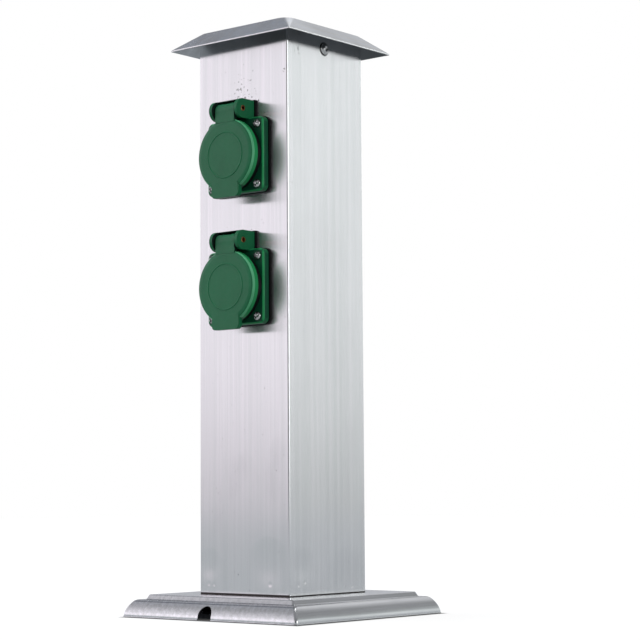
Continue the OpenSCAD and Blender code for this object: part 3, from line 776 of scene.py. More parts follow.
def turned(name: str, profile: Sequence[Point2], sides: int = 96) -> bpy.types.Object:
    """Turn a profile round the z axis.

    Args:
        name: Name of the object.
        profile: Radius and height of each point, from one end of the axis to the other, or a
            loop where no point lies on the axis.
        sides: Facets of a turn.

    Returns:
        The closed solid as an object.
    """
    mesh = bmesh.new()
    rows: list[list[bmesh.types.BMVert]] = []
    for radius, height in profile:
        if radius < 1e-6:
            rows.append([mesh.verts.new((0, 0, height * MM))])
            continue
        rows.append(
            [
                mesh.verts.new(
                    (
                        radius * MM * math.cos(2 * math.pi * i / sides),
                        radius * MM * math.sin(2 * math.pi * i / sides),
                        height * MM,
                    )
                )
                for i in range(sides)
            ]
        )
    loop = len(rows[0]) > 1 and len(rows[-1]) > 1
    for low, high in list(zip(rows, rows[1:])) + ([(rows[-1], rows[0])] if loop else []):
        for i in range(sides):
            j = (i + 1) % sides
            corners = [low[i % len(low)], low[j % len(low)], high[j % len(high)], high[i % len(high)]]
            mesh.faces.new(list(dict.fromkeys(corners)))
    return piece_from(name, mesh)


def prism(
    name: str,
    outline: Sequence[Point2],
    start: float,
    end: float,
    place: Callable[[float, float, float], Point3],
    edge: float = 0.0,
    facets: int = 3,
) -> bpy.types.Object:
    """Extrude an outline, with its end edges rounded.

    Args:
        name: Name of the object.
        outline: Points of the outline in millimetres.
        start: Where the extrusion starts.
        end: Where it ends.
        place: Turns an outline point and a distance along the extrusion into a place.
        edge: Rounding of the edges of both ends.
        facets: Facets of the rounding.

    Returns:
        The closed solid as an object.
    """
    mesh = bmesh.new()
    ends = [
        [mesh.verts.new([c * MM for c in place(u, v, along)]) for u, v in outline]
        for along in (start, end)
    ]
    caps = [mesh.faces.new(row) for row in ends]
    for i in range(len(outline)):
        j = (i + 1) % len(outline)
        mesh.faces.new((ends[0][i], ends[0][j], ends[1][j], ends[1][i]))
    if edge:
        rims = list({rim for cap in caps for rim in cap.edges})
        bmesh.ops.bevel(
            mesh,
            geom=rims,
            offset=edge * MM,
            offset_type="OFFSET",
            segments=facets,
            profile=0.5,
            affect="EDGES",
            clamp_overlap=True,
        )
    return piece_from(name, mesh)


# Geometry Nodes helpers


class Recipe:
    """A Geometry Nodes tree, with named inputs, that ends in plain geometry with a material."""

    def __init__(self, name: str, inputs: Sequence[tuple[str, str, object]]) -> None:
        """Start the tree.

        Args:
            name: Name of the tree.
            inputs: Name, socket type and default of each input. None leaves the default.
        """
        self.tree = bpy.data.node_groups.new(name, "GeometryNodeTree")
        self.add: Adder = partial(add_node, self.tree)
        interface = self.tree.interface
        interface.new_socket("Geometry", in_out="INPUT", socket_type="NodeSocketGeometry")
        self.keys: dict[str, str] = {}
        for label, kind, default in [*inputs, ("Finish", "NodeSocketMaterial", None)]:
            socket = interface.new_socket(label, in_out="INPUT", socket_type=kind)
            if default is not None:
                socket.default_value = default
            self.keys[label] = socket.identifier
        interface.new_socket("Geometry", in_out="OUTPUT", socket_type="NodeSocketGeometry")
        self.ins = self.add("NodeGroupInput").outputs

    def close(self, geometry: bpy.types.Node) -> None:
        """End the tree: realize what it instances, shade it smooth and give it its material.

        Args:
            geometry: Node whose first output carries the geometry.
        """
        plain = self.add("GeometryNodeRealizeInstances", None, {0: geometry})
        soft = self.add("GeometryNodeSetShadeSmooth", {"domain": "FACE"}, {"Geometry": plain})
        finish = {"Geometry": soft, "Material": self.ins["Finish"]}
        self.add("NodeGroupOutput", None, {0: self.add("GeometryNodeSetMaterial", None, finish)})

    def run(
        self,
        name: str,
        points: Sequence[Point3],
        values: dict[str, object],
        edges: bool = False,
        ways: Sequence[Point3] = (),
    ) -> bpy.types.Object:
        """Run the tree on some points and keep the result as a plain mesh.

        Args:
            name: Name of the object.
            points: Points that the tree starts from, in millimetres.
            values: Values of the named inputs.
            edges: Whether the points are joined in a row.
            ways: Direction of each point, kept as its attribute "facing".

        Returns:
            An object with a plain mesh and no modifier.
        """
        data = bpy.data.meshes.new(name)
        rows = [(i, i + 1) for i in range(len(points) - 1)] if edges else []
        data.from_pydata([[c * MM for c in p] for p in points], rows, [])
        if ways:
            facing = data.attributes.new("facing", "FLOAT_VECTOR", "POINT")
            for place, way in zip(facing.data, ways):
                place.vector = way
        piece = bpy.data.objects.new(name, data)
        bpy.context.scene.collection.objects.link(piece)
        step = piece.modifiers.new(self.tree.name, "NODES")
        step.node_group = self.tree
        for label, value in values.items():
            step[self.keys[label]] = value
        return settle(piece)


def fastener_recipe() -> Recipe:
    """Tree that sets a fastener on each point, pointing one way, each turned by its own angle.

    Returns:
        The tree, with the fastener, the largest turn and the seed of the turns as inputs.
    """
    recipe = Recipe(
        "Fasteners on points",
        [
            ("Fastener", "NodeSocketObject", None),
            ("Largest Turn", "NodeSocketFloat", 1.6),
            ("Seed", "NodeSocketInt", 7),
        ],
    )
    add, ins = recipe.add, recipe.ins
    vector = {"data_type": "FLOAT_VECTOR"}
    facing = add("GeometryNodeInputNamedAttribute", vector, {"Name": "facing"})
    upright = add("FunctionNodeAlignRotationToVector", {"axis": "Z"}, {"Vector": facing})
    span = {2: 0.0, 3: ins["Largest Turn"], "Seed": ins["Seed"]}
    turn = add("FunctionNodeRandomValue", {"data_type": "FLOAT"}, span).outputs[1]
    spin = add("FunctionNodeAxisAngleToRotation", None, {"Angle": turn})
    placed = add("FunctionNodeRotateRotation", {"rotation_space": "LOCAL"}, {0: upright, 1: spin})
    source = add("GeometryNodeObjectInfo", None, {0: ins["Fastener"]}).outputs["Geometry"]
    spots = add("GeometryNodeMeshToPoints", None, {0: ins["Geometry"]})
    copies = {"Points": spots, "Instance": source, "Rotation": placed}
    recipe.close(add("GeometryNodeInstanceOnPoints", None, copies))
    return recipe


def strand_recipe() -> Recipe:
    """Tree that runs a round strand along a row of points, for leads and springs.

    Returns:
        The tree, with the strand's diameter and its facets as inputs.
    """
    inputs = [("Diameter", "NodeSocketFloat", 0.0024), ("Facets", "NodeSocketInt", 20)]
    recipe = Recipe("Round strand along a path", inputs)
    add, ins = recipe.add, recipe.ins
    line = add("GeometryNodeMeshToCurve", None, {0: ins["Geometry"]})
    half = add("ShaderNodeMath", {"operation": "MULTIPLY"}, {0: ins["Diameter"], 1: 0.5})
    circle = {"Resolution": ins["Facets"], "Radius": half}
    section = add("GeometryNodeCurvePrimitiveCircle", None, circle)
    recipe.close(add("GeometryNodeCurveToMesh", None, {0: line, 1: section, "Fill Caps": True}))
    return recipe


def tube_recipe() -> Recipe:
    """Tree of the square column: a bent sheet run round a square path, with its holes cut out.

    Returns:
        The tree. Its points are the centres of the round holes in the front, and its openings
        are one object that holds a solid for every other opening.
    """
    recipe = Recipe(
        "Square column",
        [
            ("Width", "NodeSocketFloat", 0.0792),
            ("Wall", "NodeSocketFloat", 0.001),
            ("Bend Radius", "NodeSocketFloat", 0.0012),
            ("Bottom", "NodeSocketFloat", 0.0031),
            ("Top", "NodeSocketFloat", 0.3927),
            ("Hole Diameter", "NodeSocketFloat", 0.046),
            ("Openings", "NodeSocketObject", None),
        ],
    )
    add, ins = recipe.add, recipe.ins
    less, times = {"operation": "SUBTRACT"}, {"operation": "MULTIPLY"}
    side = add("ShaderNodeMath", less, {0: ins["Width"], 1: ins["Wall"]})
    half_wall = add("ShaderNodeMath", times, {0: ins["Wall"], 1: 0.5})
    bend = add("ShaderNodeMath", less, {0: ins["Bend Radius"], 1: half_wall})
    height = add("ShaderNodeMath", less, {0: ins["Top"], 1: ins["Bottom"]})
    ends = add("ShaderNodeMath", None, {0: ins["Top"], 1: ins["Bottom"]})
    level = add("ShaderNodeMath", times, {0: ends, 1: 0.5})
    radius = add("ShaderNodeMath", times, {0: ins["Hole Diameter"], 1: 0.5})
    square = add("GeometryNodeCurvePrimitiveQuadrilateral", None, {"Width": side, "Height": side})
    corners = {"Curve": square, "Radius": bend, "Count": 8}
    path = add("GeometryNodeFilletCurve", {"mode": "POLY"}, corners)
    sheet = {"Width": ins["Wall"], "Height": height}
    section = add("GeometryNodeCurvePrimitiveQuadrilateral", None, sheet)
    wall = add("GeometryNodeCurveToMesh", None, {0: path, 1: section})
    lift = add("ShaderNodeCombineXYZ", None, {"Z": level})
    tube = add("GeometryNodeTransform", None, {"Geometry": wall, "Translation": lift})
    drill = {"Vertices": 96, "Radius": radius, "Depth": 6 * MM}
    cylinder = add("GeometryNodeMeshCylinder", None, drill).outputs["Mesh"]
    spots = add("GeometryNodeMeshToPoints", None, {0: ins["Geometry"]})
    copies = {"Points": spots, "Instance": cylinder, "Rotation": (math.pi / 2, 0.0, 0.0)}
    holes = add("GeometryNodeInstanceOnPoints", None, copies)
    real = add("GeometryNodeRealizeInstances", None, {0: holes})
    others = add("GeometryNodeObjectInfo", None, {0: ins["Openings"]}).outputs["Geometry"]
    cut = {"operation": "DIFFERENCE", "solver": "EXACT"}
    for cutter in (real, others):
        tube = add("GeometryNodeMeshBoolean", cut, {"Mesh 1": tube, "Mesh 2": cutter})
    recipe.close(tube)
    return recipe


def mount(
    piece: bpy.types.Object, body: str, palette: Palette, slot: str, *nodes: str
) -> bpy.types.Object:
    """Give a finished piece its finish and its body, and let it stand for its solids.

    Args:
        piece: Piece at the origin, with its place in its mesh.
        body: CAD body that it rides on.
        palette: The post's materials.
        slot: Material slot of the piece.
        nodes: CAD nodes that it stands for.

    Returns:
        The same piece.
    """
    if not piece.data.materials:
        piece.data.materials.append(palette.materials[slot])
    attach(piece, body)
    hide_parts(*nodes)
    LOG.info("%s stands for %s: %d faces", piece.name, ", ".join(nodes), len(piece.data.polygons))
    return piece


def paint(
    piece: bpy.types.Object,
    palette: Palette,
    slots: Sequence[str],
    choose: Callable[[bpy.types.MeshPolygon], int],
) -> None:
    """Give a piece several finishes, face by face.

    Args:
        piece: Piece to paint.
        palette: The post's materials.
        slots: Material slots of the piece.
        choose: Gives the index of a face's slot.
    """
    for slot in slots:
        piece.data.materials.append(palette.materials[slot])
    for face in piece.data.polygons:
        face.material_index = choose(face)


def fasten(
    name: str,
    template: bpy.types.Object,
    places: Sequence[Point3],
    ways: Sequence[Point3],
    palette: Palette,
    slot: str,
    seed: int = 7,
) -> bpy.types.Object:
    """Set a copy of a fastener on each place through the Geometry Nodes tree.

    Args:
        name: Name of the piece.
        template: Fastener that points up at the origin. It is used up.
        places: Where each copy goes, in millimetres.
        ways: Where each copy points.
        palette: The post's materials.
        slot: Material slot of the fasteners.
        seed: Seed of their turns.

    Returns:
        All the copies as one plain mesh.
    """
    values = {"Fastener": template, "Seed": seed, "Finish": palette.materials[slot]}
    piece = fastener_recipe().run(name, places, values, ways=ways)
    bpy.data.objects.remove(template)
    return smooth(piece, degrees=35)


def flat(u: float, v: float, along: float) -> Point3:
    """Place an outline in the ground plane, extruded upwards."""
    return u, v, along


def forwards(u: float, v: float, along: float) -> Point3:
    """Place an outline seen from the front, extruded from back to front."""
    return u, along, v


def rightwards(u: float, v: float, along: float) -> Point3:
    """Place an outline seen from the right, extruded from left to right."""
    return along, u, v


def sideways(u: float, v: float, along: float) -> Point3:
    """Place an outline drawn as (outwards, up) in a socket's frame, extruded to the right."""
    return along, v, u


def facing_front(u: float, v: float, along: float) -> Point3:
    """Place an outline drawn as (right, up) in a socket's frame, extruded outwards."""
    return u, v, along


# The post's sub-assemblies


@dataclass
class Column:
    """Square column of bent sheet, brushed upright, with the marks of its spot welds."""

    width: float = 79.2
    wall: float = 1.0
    bend_radius: float = 1.2
    bottom: float = 3.1
    top: float = 392.7
    panel_hole_d: float = 46.0
    socket_heights: tuple[float, ...] = tuple(HEIGHTS.values())
    roof_screw: Point2 = ROOF_SCREW
    roof_screw_hole_r: float = 2.2
    notch: tuple[float, float, float] = (-9.6, 6.0, 12.5)  # left, right and top

    def openings(self) -> bpy.types.Object:
        """Make the cutters of the screw holes and of the cable notch.

        Returns:
            One object with a solid for each opening.
        """
        half = self.width / 2
        hole = arc(self.roof_screw, self.roof_screw_hole_r, 0, 345, 23)
        cutter = prism("screw holes", hole, -half - 3, half + 3, rightwards)
        left, right, top = self.notch
        rim = [(left, 0.0), (right, 0.0), (right, top), (left, top)]
        gap = prism("column notch", rim, -half - 3, -half + 4, forwards)
        return combine(cutter, [gap], "UNION")

    def build(self, palette: Palette) -> None:
        """Build the column.

        Args:
            palette: The post's materials.
        """
        cutter = self.openings()
        centres = [(0.0, -self.width / 2, z) for z in self.socket_heights]
        column = tube_recipe().run(
            "column_sheet",
            centres,
            {
                "Width": self.width * MM,
                "Wall": self.wall * MM,
                "Bend Radius": self.bend_radius * MM,
                "Bottom": self.bottom * MM,
                "Top": self.top * MM,
                "Hole Diameter": self.panel_hole_d * MM,
                "Openings": cutter,
                "Finish": palette.materials["brushed_steel"],
            },
        )
        bpy.data.objects.remove(cutter)
        mount(smooth(column), "post", palette, "brushed_steel", "column_tube")


@dataclass
class Roof:
    """Low pressed roof: a flat top, four slopes and a raw rim, with a strap and two screws."""

    top: float = 396.0
    rim_half: float = 53.6
    rim_z: float = 383.6
    rim_wall: float = 0.8
    rim_r: float = 0.8
    flat_half: float = 40.5
    core_half: float = 30.0  # innermost ring of the flat top
    fold_r: float = 2.5
    corner_r: float = 8.0
    sheet: float = 1.0
    screw_x: float = 39.7
    screw_at: Point2 = ROOF_SCREW
    head_r: float = 3.9
    head_h: float = 2.4
    dome_r: float = 4.4
    hex_r: float = 1.85
    shank_r: float = 2.0
    shank_len: float = 9.0

    def profile(self) -> list[tuple[float, float, float]]:
        """Outline the sheet, from the top's middle round to the inside.

        Returns:
            Half width, height and corner radius of each ring.
        """
        lift = self.top - self.rim_z - self.rim_wall
        run = self.rim_half - self.flat_half
        tilt = math.degrees(math.atan2(lift, run))
        back = self.fold_r * math.tan(math.radians(tilt / 2))
        centre = (self.flat_half - back, self.top - self.fold_r)
        fold = arc(centre, self.fold_r, 90, 90 - tilt, 6)
        rows = [(self.core_half, self.top, 1.0)]
        rows += [(half, z, self.corner_r - 0.6 + 0.1 * i) for i, (half, z) in enumerate(fold)]
        start = fold[-1]
        for share in (0.08, 0.35, 0.7, 0.94, 1.0):
            half = start[0] + (self.rim_half - start[0]) * share
            z = start[1] + (self.rim_z + self.rim_wall - start[1]) * share
            rows.append((half, z, self.corner_r + (self.rim_r - self.corner_r) * share))
        rows += [
            (self.rim_half, self.rim_z + 0.12, self.rim_r),
            (self.rim_half - 0.12, self.rim_z, self.rim_r),
            (self.rim_half - self.sheet + 0.1, self.rim_z, 0.5),
            (self.rim_half - self.sheet, self.rim_z + 0.1, 0.5),
            (self.flat_half + 0.6, self.top - self.sheet - 1.0, 3.3),
            (self.flat_half - 0.5, self.top - self.sheet - 0.1, 3.0),
            (self.core_half, self.top - self.sheet, 1.0),
        ]
        return rows

    def screw(self) -> bpy.types.Object:
        """Make one button head screw with a hexagonal recess.

        Returns:
            The screw at the origin, pointing up.
        """
        dome = arc((0.0, self.head_h - self.dome_r), self.dome_r, 40, 90, 7)
        rows = [(0.0, -self.shank_len), (self.shank_r, -self.shank_len), (self.shank_r, 0.0)]
        rows += [(self.head_r - 0.2, 0.0), (self.head_r, 0.3), (self.head_r, 0.55)]
        rows += [(r, z) for r, z in dome if r < self.head_r - 0.1]
        body = turned("roof screw", rows, sides=40)
        recess = prism("hex recess", arc((0.0, 0.0), self.hex_r, 0, 300, 5), 1.0, 4.0, flat)
        return smooth(combine(body, [recess], "DIFFERENCE"), degrees=35)

    def face_finish(self, face: bpy.types.MeshPolygon) -> int:
        """Choose the finish of one face of the roof.

        Args:
            face: Face of the finished mesh.

        Returns:
            Index in the roof's material slots: outside, inside (painted in shade) or cut edge.
        """
        outside = max(abs(face.center.x), abs(face.center.y)) > (self.rim_half - 0.3) * MM
        if outside and abs(face.normal.z) < 0.3:
            return 2
        return int(face.normal.z < -0.1)

    def build(self, palette: Palette) -> None:
        """Build the roof and its screws.

        Args:
            palette: The post's materials.
        """
        hat = smooth(loft("roof_pressing", sheet_rings(self.profile())), degrees=32)
        paint(hat, palette, ("roof_steel", "roof_inside", "cut_edge"), self.face_finish)
        mount(hat, "post", palette, "roof_steel", "roof_hat")
        places = [(side * self.screw_x, *self.screw_at) for side in (-1, 1)]
        ways = [(-1, 0, 0), (1, 0, 0)]
        screws = fasten("roof_screw_pair", self.screw(), places, ways, palette, "screw_steel")
        mount(screws, "post", palette, "screw_steel", "roof_screws")
        palette.dress("roof_strap", "zinc_steel")


@dataclass
class Foot:
    """Pressed foot cover: rim, convex flare, ledge and step, with the cable notch in front."""

    rim_half: float = 76.5
    ledge_z: float = 11.3
    flare_in: float = 6.15
    flare_r: float = 18.0
    ledge_w: float = 4.8
    step_in: float = 1.35
    height: float = 14.5
    sheet: float = 1.0
    corner_r: float = 2.0
    opening_half: float = 40.4
    opening_r: float = 2.0
    notch_x: float = -1.8
    notch_w: float = 11.6
    notch_h: float = 9.1
    turn_z: float = 3.6  # below it the flare turns upright
    bead_z: float = 0.75  # and below this is the bead at the rim

    def flare(self, radius: float, low: float, high: float, count: int) -> list[Point2]:
        """Points of the flare's arc, as half width and height.

        Args:
            radius: Radius about the flare's centre.
            low: Lowest height.
            high: Highest height.
            count: Number of steps.

        Returns:
            The points, from the lowest up.
        """
        top = self.rim_half - self.flare_in
        chord = math.hypot(self.flare_in, self.ledge_z)
        offset = math.sqrt(self.flare_r**2 - chord**2 / 4)
        centre_x = (self.rim_half + top) / 2 - offset * self.ledge_z / chord
        centre_z = self.ledge_z / 2 - offset * self.flare_in / chord
        levels = [low + (high - low) * i / count for i in range(count + 1)]
        return [(centre_x + math.sqrt(radius**2 - (z - centre_z) ** 2), z) for z in levels]

    def profile(self) -> list[tuple[float, float, float]]:
        """Outline the sheet all round.

        Returns:
            Half width, height and corner radius of each ring.
        """
        top = self.rim_half - self.flare_in
        low_step = top - self.ledge_w
        high_step = low_step - self.step_in
        outer = [
            (self.opening_half, self.height - 0.15),
            (self.opening_half + 0.15, self.height),
            (high_step - 0.75, self.height),
            (high_step - 0.35, self.height - 0.06),
            (high_step - 0.08, self.height - 0.3),
            (high_step + 0.12, self.height - 0.7),
            (low_step - 0.2, self.ledge_z + 0.45),
            (low_step, self.ledge_z + 0.15),
            (low_step + 0.3, self.ledge_z),
            (top - 1.1, self.ledge_z),
            (top - 0.6, self.ledge_z - 0.06),
            (top - 0.2, self.ledge_z - 0.25),
        ]
        turn_z, bead_z = self.turn_z, self.bead_z
        curve = list(reversed(self.flare(self.flare_r, turn_z, self.ledge_z - 0.7, 10)))
        start, before = curve[-1], curve[-2]
        slope = (start[0] - before[0]) / (before[1] - start[1])
        for step in range(1, 9):  # the flare turns upright, and a little under, above its bead
            drop = (turn_z - bead_z) * step / 8
            bent = slope * drop - (slope + 0.06) * drop**2 / (2 * (turn_z - bead_z))
            curve.append((start[0] + bent, turn_z - drop))
        rim = [
            (self.rim_half - 0.18, 0.62),
            (self.rim_half - 0.03, 0.45),
            (self.rim_half, 0.2),
            (self.rim_half - 0.2, 0.0),
        ]
        inside = [(self.rim_half - self.sheet, 0.0)]
        inside += self.flare(self.flare_r - self.sheet, 0.6, self.ledge_z - self.sheet, 6)
        inside += [
            (low_step - self.sheet + 0.2, self.ledge_z - self.sheet),
            (high_step - self.sheet, self.height - self.sheet),
            (self.opening_half, self.height - self.sheet),
        ]
        rows = []
        for half, z in outer + curve + rim + inside:
            near = self.opening_r if half < self.opening_half + 1 else self.corner_r
            rows.append((half, z, near))
        return rows

    def face_finish(self, face: bpy.types.MeshPolygon) -> int:
        """Choose the finish of one face: 1 for the flat ledge, painted in shade, 0 for the rest."""
        above = face.center.z / MM - self.ledge_z
        return int(-0.1 < above < 0.2 and face.normal.z > 0.9)

    def build(self, palette: Palette) -> None:
        """Build the foot cover.

        Args:
            palette: The post's materials.
        """
        cover = loft("foot_pressing", sheet_rings(self.profile()), closed=True)
        half = self.notch_w / 2
        arch = arc((self.notch_x, self.notch_h - half), half, 0, 180, 24)
        mouth = [(self.notch_x - half, -2.0), (self.notch_x + half, -2.0)]
        inner = -self.rim_half + self.flare_in + 4
        cutter = prism("notch", mouth + arch, -self.rim_half - 2, inner, forwards)
        combine(cover, [cutter], "DIFFERENCE")
        paint(cover, palette, ("foot_steel", "ledge_steel"), self.face_finish)
        mount(smooth(cover, degrees=42), "post", palette, "brushed_steel", "base_cover")
        for node in ("anchor_plate", "foot_brackets"):
            palette.dress(node, "zinc_steel")
        palette.dress("foot_screws", "screw_steel")


@dataclass
class Socket:
    """One socket: flange with hinge ears and hood, black cup, and the sprung lid that closes it."""

    prefix: str
    centre_z: float
    column_half: float = 39.6
    flange_half: float = 25.0
    flange_back: float = 2.2  # outwards from the column, as is every depth here
    face: float = 7.7  # front of the flange
    flange_r: float = 4.0
    flange_edge: float = 1.5
    seam: float = 4.75  # where the fine line round the flange's side runs
    seam_half: float = 0.1
    bore_r: float = 21.0
    barrel_r: float = 22.5
    barrel_end: float = -10.3
    pin: Point2 = (13.2, 30.7)  # outwards, up
    pin_r: float = 2.0
    ear_in: float = 9.8
    ear_out: float = 12.4
    ear_r: float = 6.6
    ear_edge: float = 0.45
    hood_under: float = 36.4
    hinge_wall: float = 2.0  # between the hinge and the column
    lid_r: float = 24.5
    lid_back: float = 12.0
    lid_front: float = 18.0
    lid_wall: float = 2.4
    lid_skirt: float = 1.8
    lid_edge: float = 1.5
    lid_band: float = 2.9  # width of the gentle slope inside the lid's edge
    lid_slope: float = 0.3
    lid_highlight_reach: float = 0.8  # how far the painted highlight of the rounding reaches down the skirt
    ring_r: float = 15.25
    tab_half: float = 8.5
    tab_edge: float = 0.4
    knuckle_r: float = 4.6
    spring_half: float = 3.2
    lip_half: float = 12.0
    lip_drop: float = 3.9
    lip_t: float = 3.8
    lip_r: float = 2.4
    lip_edge: float = 0.7
    screw_at: float = 20.0
    head_r: float = 2.8
    head_h: float = 2.0
    head_rim: float = 0.5  # upright part of the head
    shank_r: float = 1.5
    shank_len: float = 8.0
    cross_reach: float = 2.05
    cross_half: float = 0.6
    spring_wire: float = 0.7

    def to_world(self, piece: bpy.types.Object) -> bpy.types.Object:
        """Move a piece from the socket's frame (right, up, outwards) to its place.

        Args:
            piece: Piece with its mesh in the socket's frame.

        Returns:
            The same piece.
        """
        turn = Matrix.Rotation(math.radians(90), 4, "X")
        shift = Matrix.Translation((0, -self.column_half * MM, self.centre_z * MM))
        piece.data.transform(shift @ turn)
        return piece

    def spot(self, right: float, up: float, out: float) -> Point3:
        """Turn a point of the socket's frame into a point of the post's, in millimetres."""
        return right, -self.column_half - out, self.centre_z + up

    def build_housing(self, palette: Palette) -> None:
        """Build the green flange with its ears, hood and barrel.

        Args:
            palette: The post's materials.
        """
        half, edge, radius = self.flange_half, self.flange_edge, self.flange_r
        near, seam = self.flange_back, self.seam
        rows = [(half - 0.4, near, radius - 0.4), (half, near + 0.4, radius)]
        rows += [(half, seam - self.seam_half, radius), (half - 0.06, seam, radius)]
        rows.append((half, seam + self.seam_half, radius))
        for out, z in arc((half - edge, self.face - edge), edge, 0, 90, 6):
            rows.append((out, z, radius - (half - out)))
        flange = loft(f"{self.prefix}_flange_moulding", sheet_rings(rows))
        out, up = self.pin
        top = up + self.ear_r
        ear = [(near, up - self.ear_r)]
        ear += arc(self.pin, self.ear_r, -90, 90, 28) + [(near, top)]
        tools = [
            prism("ear", ear, side * self.ear_in, side * self.ear_out, sideways, self.ear_edge)
            for side in (-1, 1)
        ]
        hood = [(near, self.hood_under), (out + 0.4, self.hood_under)]
        hood += arc((out + 0.4, top - 0.5), 0.5, 0, 90, 3) + [(near, top)]
        tools.append(prism("hood", hood, -self.ear_out + 0.3, self.ear_out - 0.3, sideways))
        deep = near + self.hinge_wall
        wall = [(near, 20.0), (deep, 20.0), (deep, top - 0.05), (near, top - 0.05)]
        tools.append(prism("hinge back", wall, -self.ear_out + 0.1, self.ear_out - 0.1, sideways))
        end = self.barrel_end
        tools.append(turned("barrel", [(0, end), (self.barrel_r, end), (self.barrel_r, 4), (0, 4)]))
        combine(flange, tools, "UNION")
        bore = turned("bore", [(0, -12), (self.bore_r, -12), (self.bore_r, 10), (0, 10)])
        rod = prism("pin hole", arc(self.pin, self.pin_r + 0.02, 0, 350, 35), -14, 14, sideways)
        combine(flange, [bore, rod], "DIFFERENCE")
        # painted light and shade: a lit rounded edge, shaded faces, deeper shade in the hinge
        slots = ("green_plastic", "green_lit_edge", "green_shaded", "green_deep_shade")
        paint(flange, palette, slots, self.flange_finish)
        smooth(self.to_world(flange), degrees=38)
        mount(flange, "post", palette, "green_plastic", f"{self.prefix}_housing")

    def lid_profile(self) -> list[Point2]:
        """Outline the lid from the middle of its inside, round its skirt, to its front.

        Returns:
            Radius and depth of each point.
        """
        inner, front, edge = self.lid_front - self.lid_wall, self.lid_front, self.lid_edge
        skirt = self.lid_r - self.lid_skirt
        rows = [
            (0.0, inner),
            (skirt - 0.4, inner),
            (skirt, inner - 0.4),
            (skirt, self.lid_back + 0.15),
            (skirt + 0.15, self.lid_back),
            (self.lid_r - 0.3, self.lid_back),
            (self.lid_r, self.lid_back + 0.3),
        ]
        rounding, band = front - self.lid_slope - edge, self.lid_r - self.lid_band
        rows.append((self.lid_r, rounding - self.lid_highlight_reach))
        rows += arc((self.lid_r - edge, rounding), edge, 0, 80, 8)
        rows += [(band, front - 0.02), (band - 0.3, front)]
        ring = self.ring_r
        rows += [(ring + 0.55, front), (ring + 0.3, front + 0.2), (ring, front + 0.25)]
        rows += [(ring - 0.3, front + 0.2), (ring - 0.55, front), (0.0, front)]
        return rows

    def lip(self) -> bpy.types.Object:
        """Make the finger lip, a tongue flush with the lid's face.

        Returns:
            The tongue in the socket's frame, with its lower corners and its edges rounded.
        """
        low, high = -self.lid_r - self.lip_drop, -self.lid_r + 8
        half, radius = self.lip_half, self.lip_r
        outline = arc((radius - half, low + radius), radius, 180, 270, 8)
        outline += arc((half - radius, low + radius), radius, 270, 360, 8)
        outline += [(half, high), (-half, high)]
        back, front = self.lid_front - self.lip_t, self.lid_front - 0.02
        return prism("lip", outline, back, front, facing_front, self.lip_edge, facets=4)

    def build_lid(self, palette: Palette) -> None:
        """Build the green lid with its hinge tab, raised ring and finger lip.

        Args:
            palette: The post's materials.
        """
        lid = turned(f"{self.prefix}_lid_moulding", self.lid_profile(), sides=128)
        up = self.pin[1]
        front, inner = self.lid_front, self.lid_front - self.lid_wall
        tab = [(inner, 22.0), (front, 22.0), (front, up - 5.4), (front - 0.22, up - 4.6)]
        tab += [(front - 0.22, up - 1.6), (front - 0.05, up - 0.8)]
        tab += arc(self.pin, self.knuckle_r, 0, 300, 50)
        hinge = prism("tab", tab, -self.tab_half, self.tab_half, sideways, self.tab_edge)
        combine(lid, [hinge, self.lip()], "UNION")
        gap = [(0.0, up - 6.0), (inner, up - 6.0), (inner, up + 6.0), (0.0, up + 6.0)]
        span = (-self.spring_half, self.spring_half)
        room_r, room_z = self.lid_r - self.lid_skirt - 0.02, inner - 0.02
        tools = [
            prism("pin bore", arc(self.pin, self.pin_r + 0.05, 0, 350, 35), -12, 12, sideways),
            prism("spring slot", gap, *span, sideways),
            prism("spring room", arc(self.pin, self.knuckle_r - 0.9, 0, 350, 35), *span, sideways),
            turned("cup", [(0, 5), (room_r, 5), (room_r, room_z), (0, room_z)], sides=128),
        ]
        combine(lid, tools, "DIFFERENCE")
        # painted light and shade: lit skirt, highlight on the rounding, shade at the tab's sides
        paint(lid, palette, ("green_plastic", "green_lit_edge", "green_highlight", "green_deep_shade"), self.lit_and_shaded_slot)
        smooth(self.to_world(lid), degrees=38)
        mount(lid, f"{self.prefix}_cover", palette, "green_plastic", f"{self.prefix}_lid")

    def lit_and_shaded_slot(self, face: bpy.types.MeshPolygon) -> int:
        """Choose the finish of one face of the lid.

        The skirt is painted lighter, as lit, its rounding gets a pale painted highlight, and painted
        shade darkens the sides of the tab.

        Args:
            face: Face of the lid in the socket's frame.

        Returns:
            Index in the lid's material slots.
        """
        place = face.center / MM
        away = math.hypot(place.x, place.y)
        joined = place.y > 0 and abs(place.x) < self.tab_half + 0.3
        joined = joined or (place.y < 0 and abs(place.x) < self.lip_half + 0.3)
        rounding = self.lid_front - self.lid_slope - self.lid_edge
        # painted shade on the sides of the hinge tab
        if place.y > self.lid_r and abs(abs(place.x) - self.tab_half) < 0.05:
            return 3
        if joined or away < self.lid_r - 0.35 * self.lid_edge or place.z < self.lid_back + 0.3:
            return 0
        # painted light: 2 is the highlight on the rounding, 1 the lit skirt
        return 2 if place.z > rounding - self.lid_highlight_reach else 1

    def flange_finish(self, face: bpy.types.MeshPolygon) -> int:
        """Choose the finish of one face of the housing.

        The flange's rounded edge is painted lighter, as a highlight, its flat front and its sides are
        painted in shade, and that painted shade is darkest inside the hinge.

        Args:
            face: Face of the housing in the socket's frame.

        Returns:
            Index in the housing's material slots.
        """
        place = face.center / MM
        reach = max(abs(place.x), abs(place.y))
        hinge = place.y > 0 and abs(place.x) < self.ear_out + 0.3
        rounded = self.flange_half - 0.75 * self.flange_edge < reach < self.flange_half + 0.05
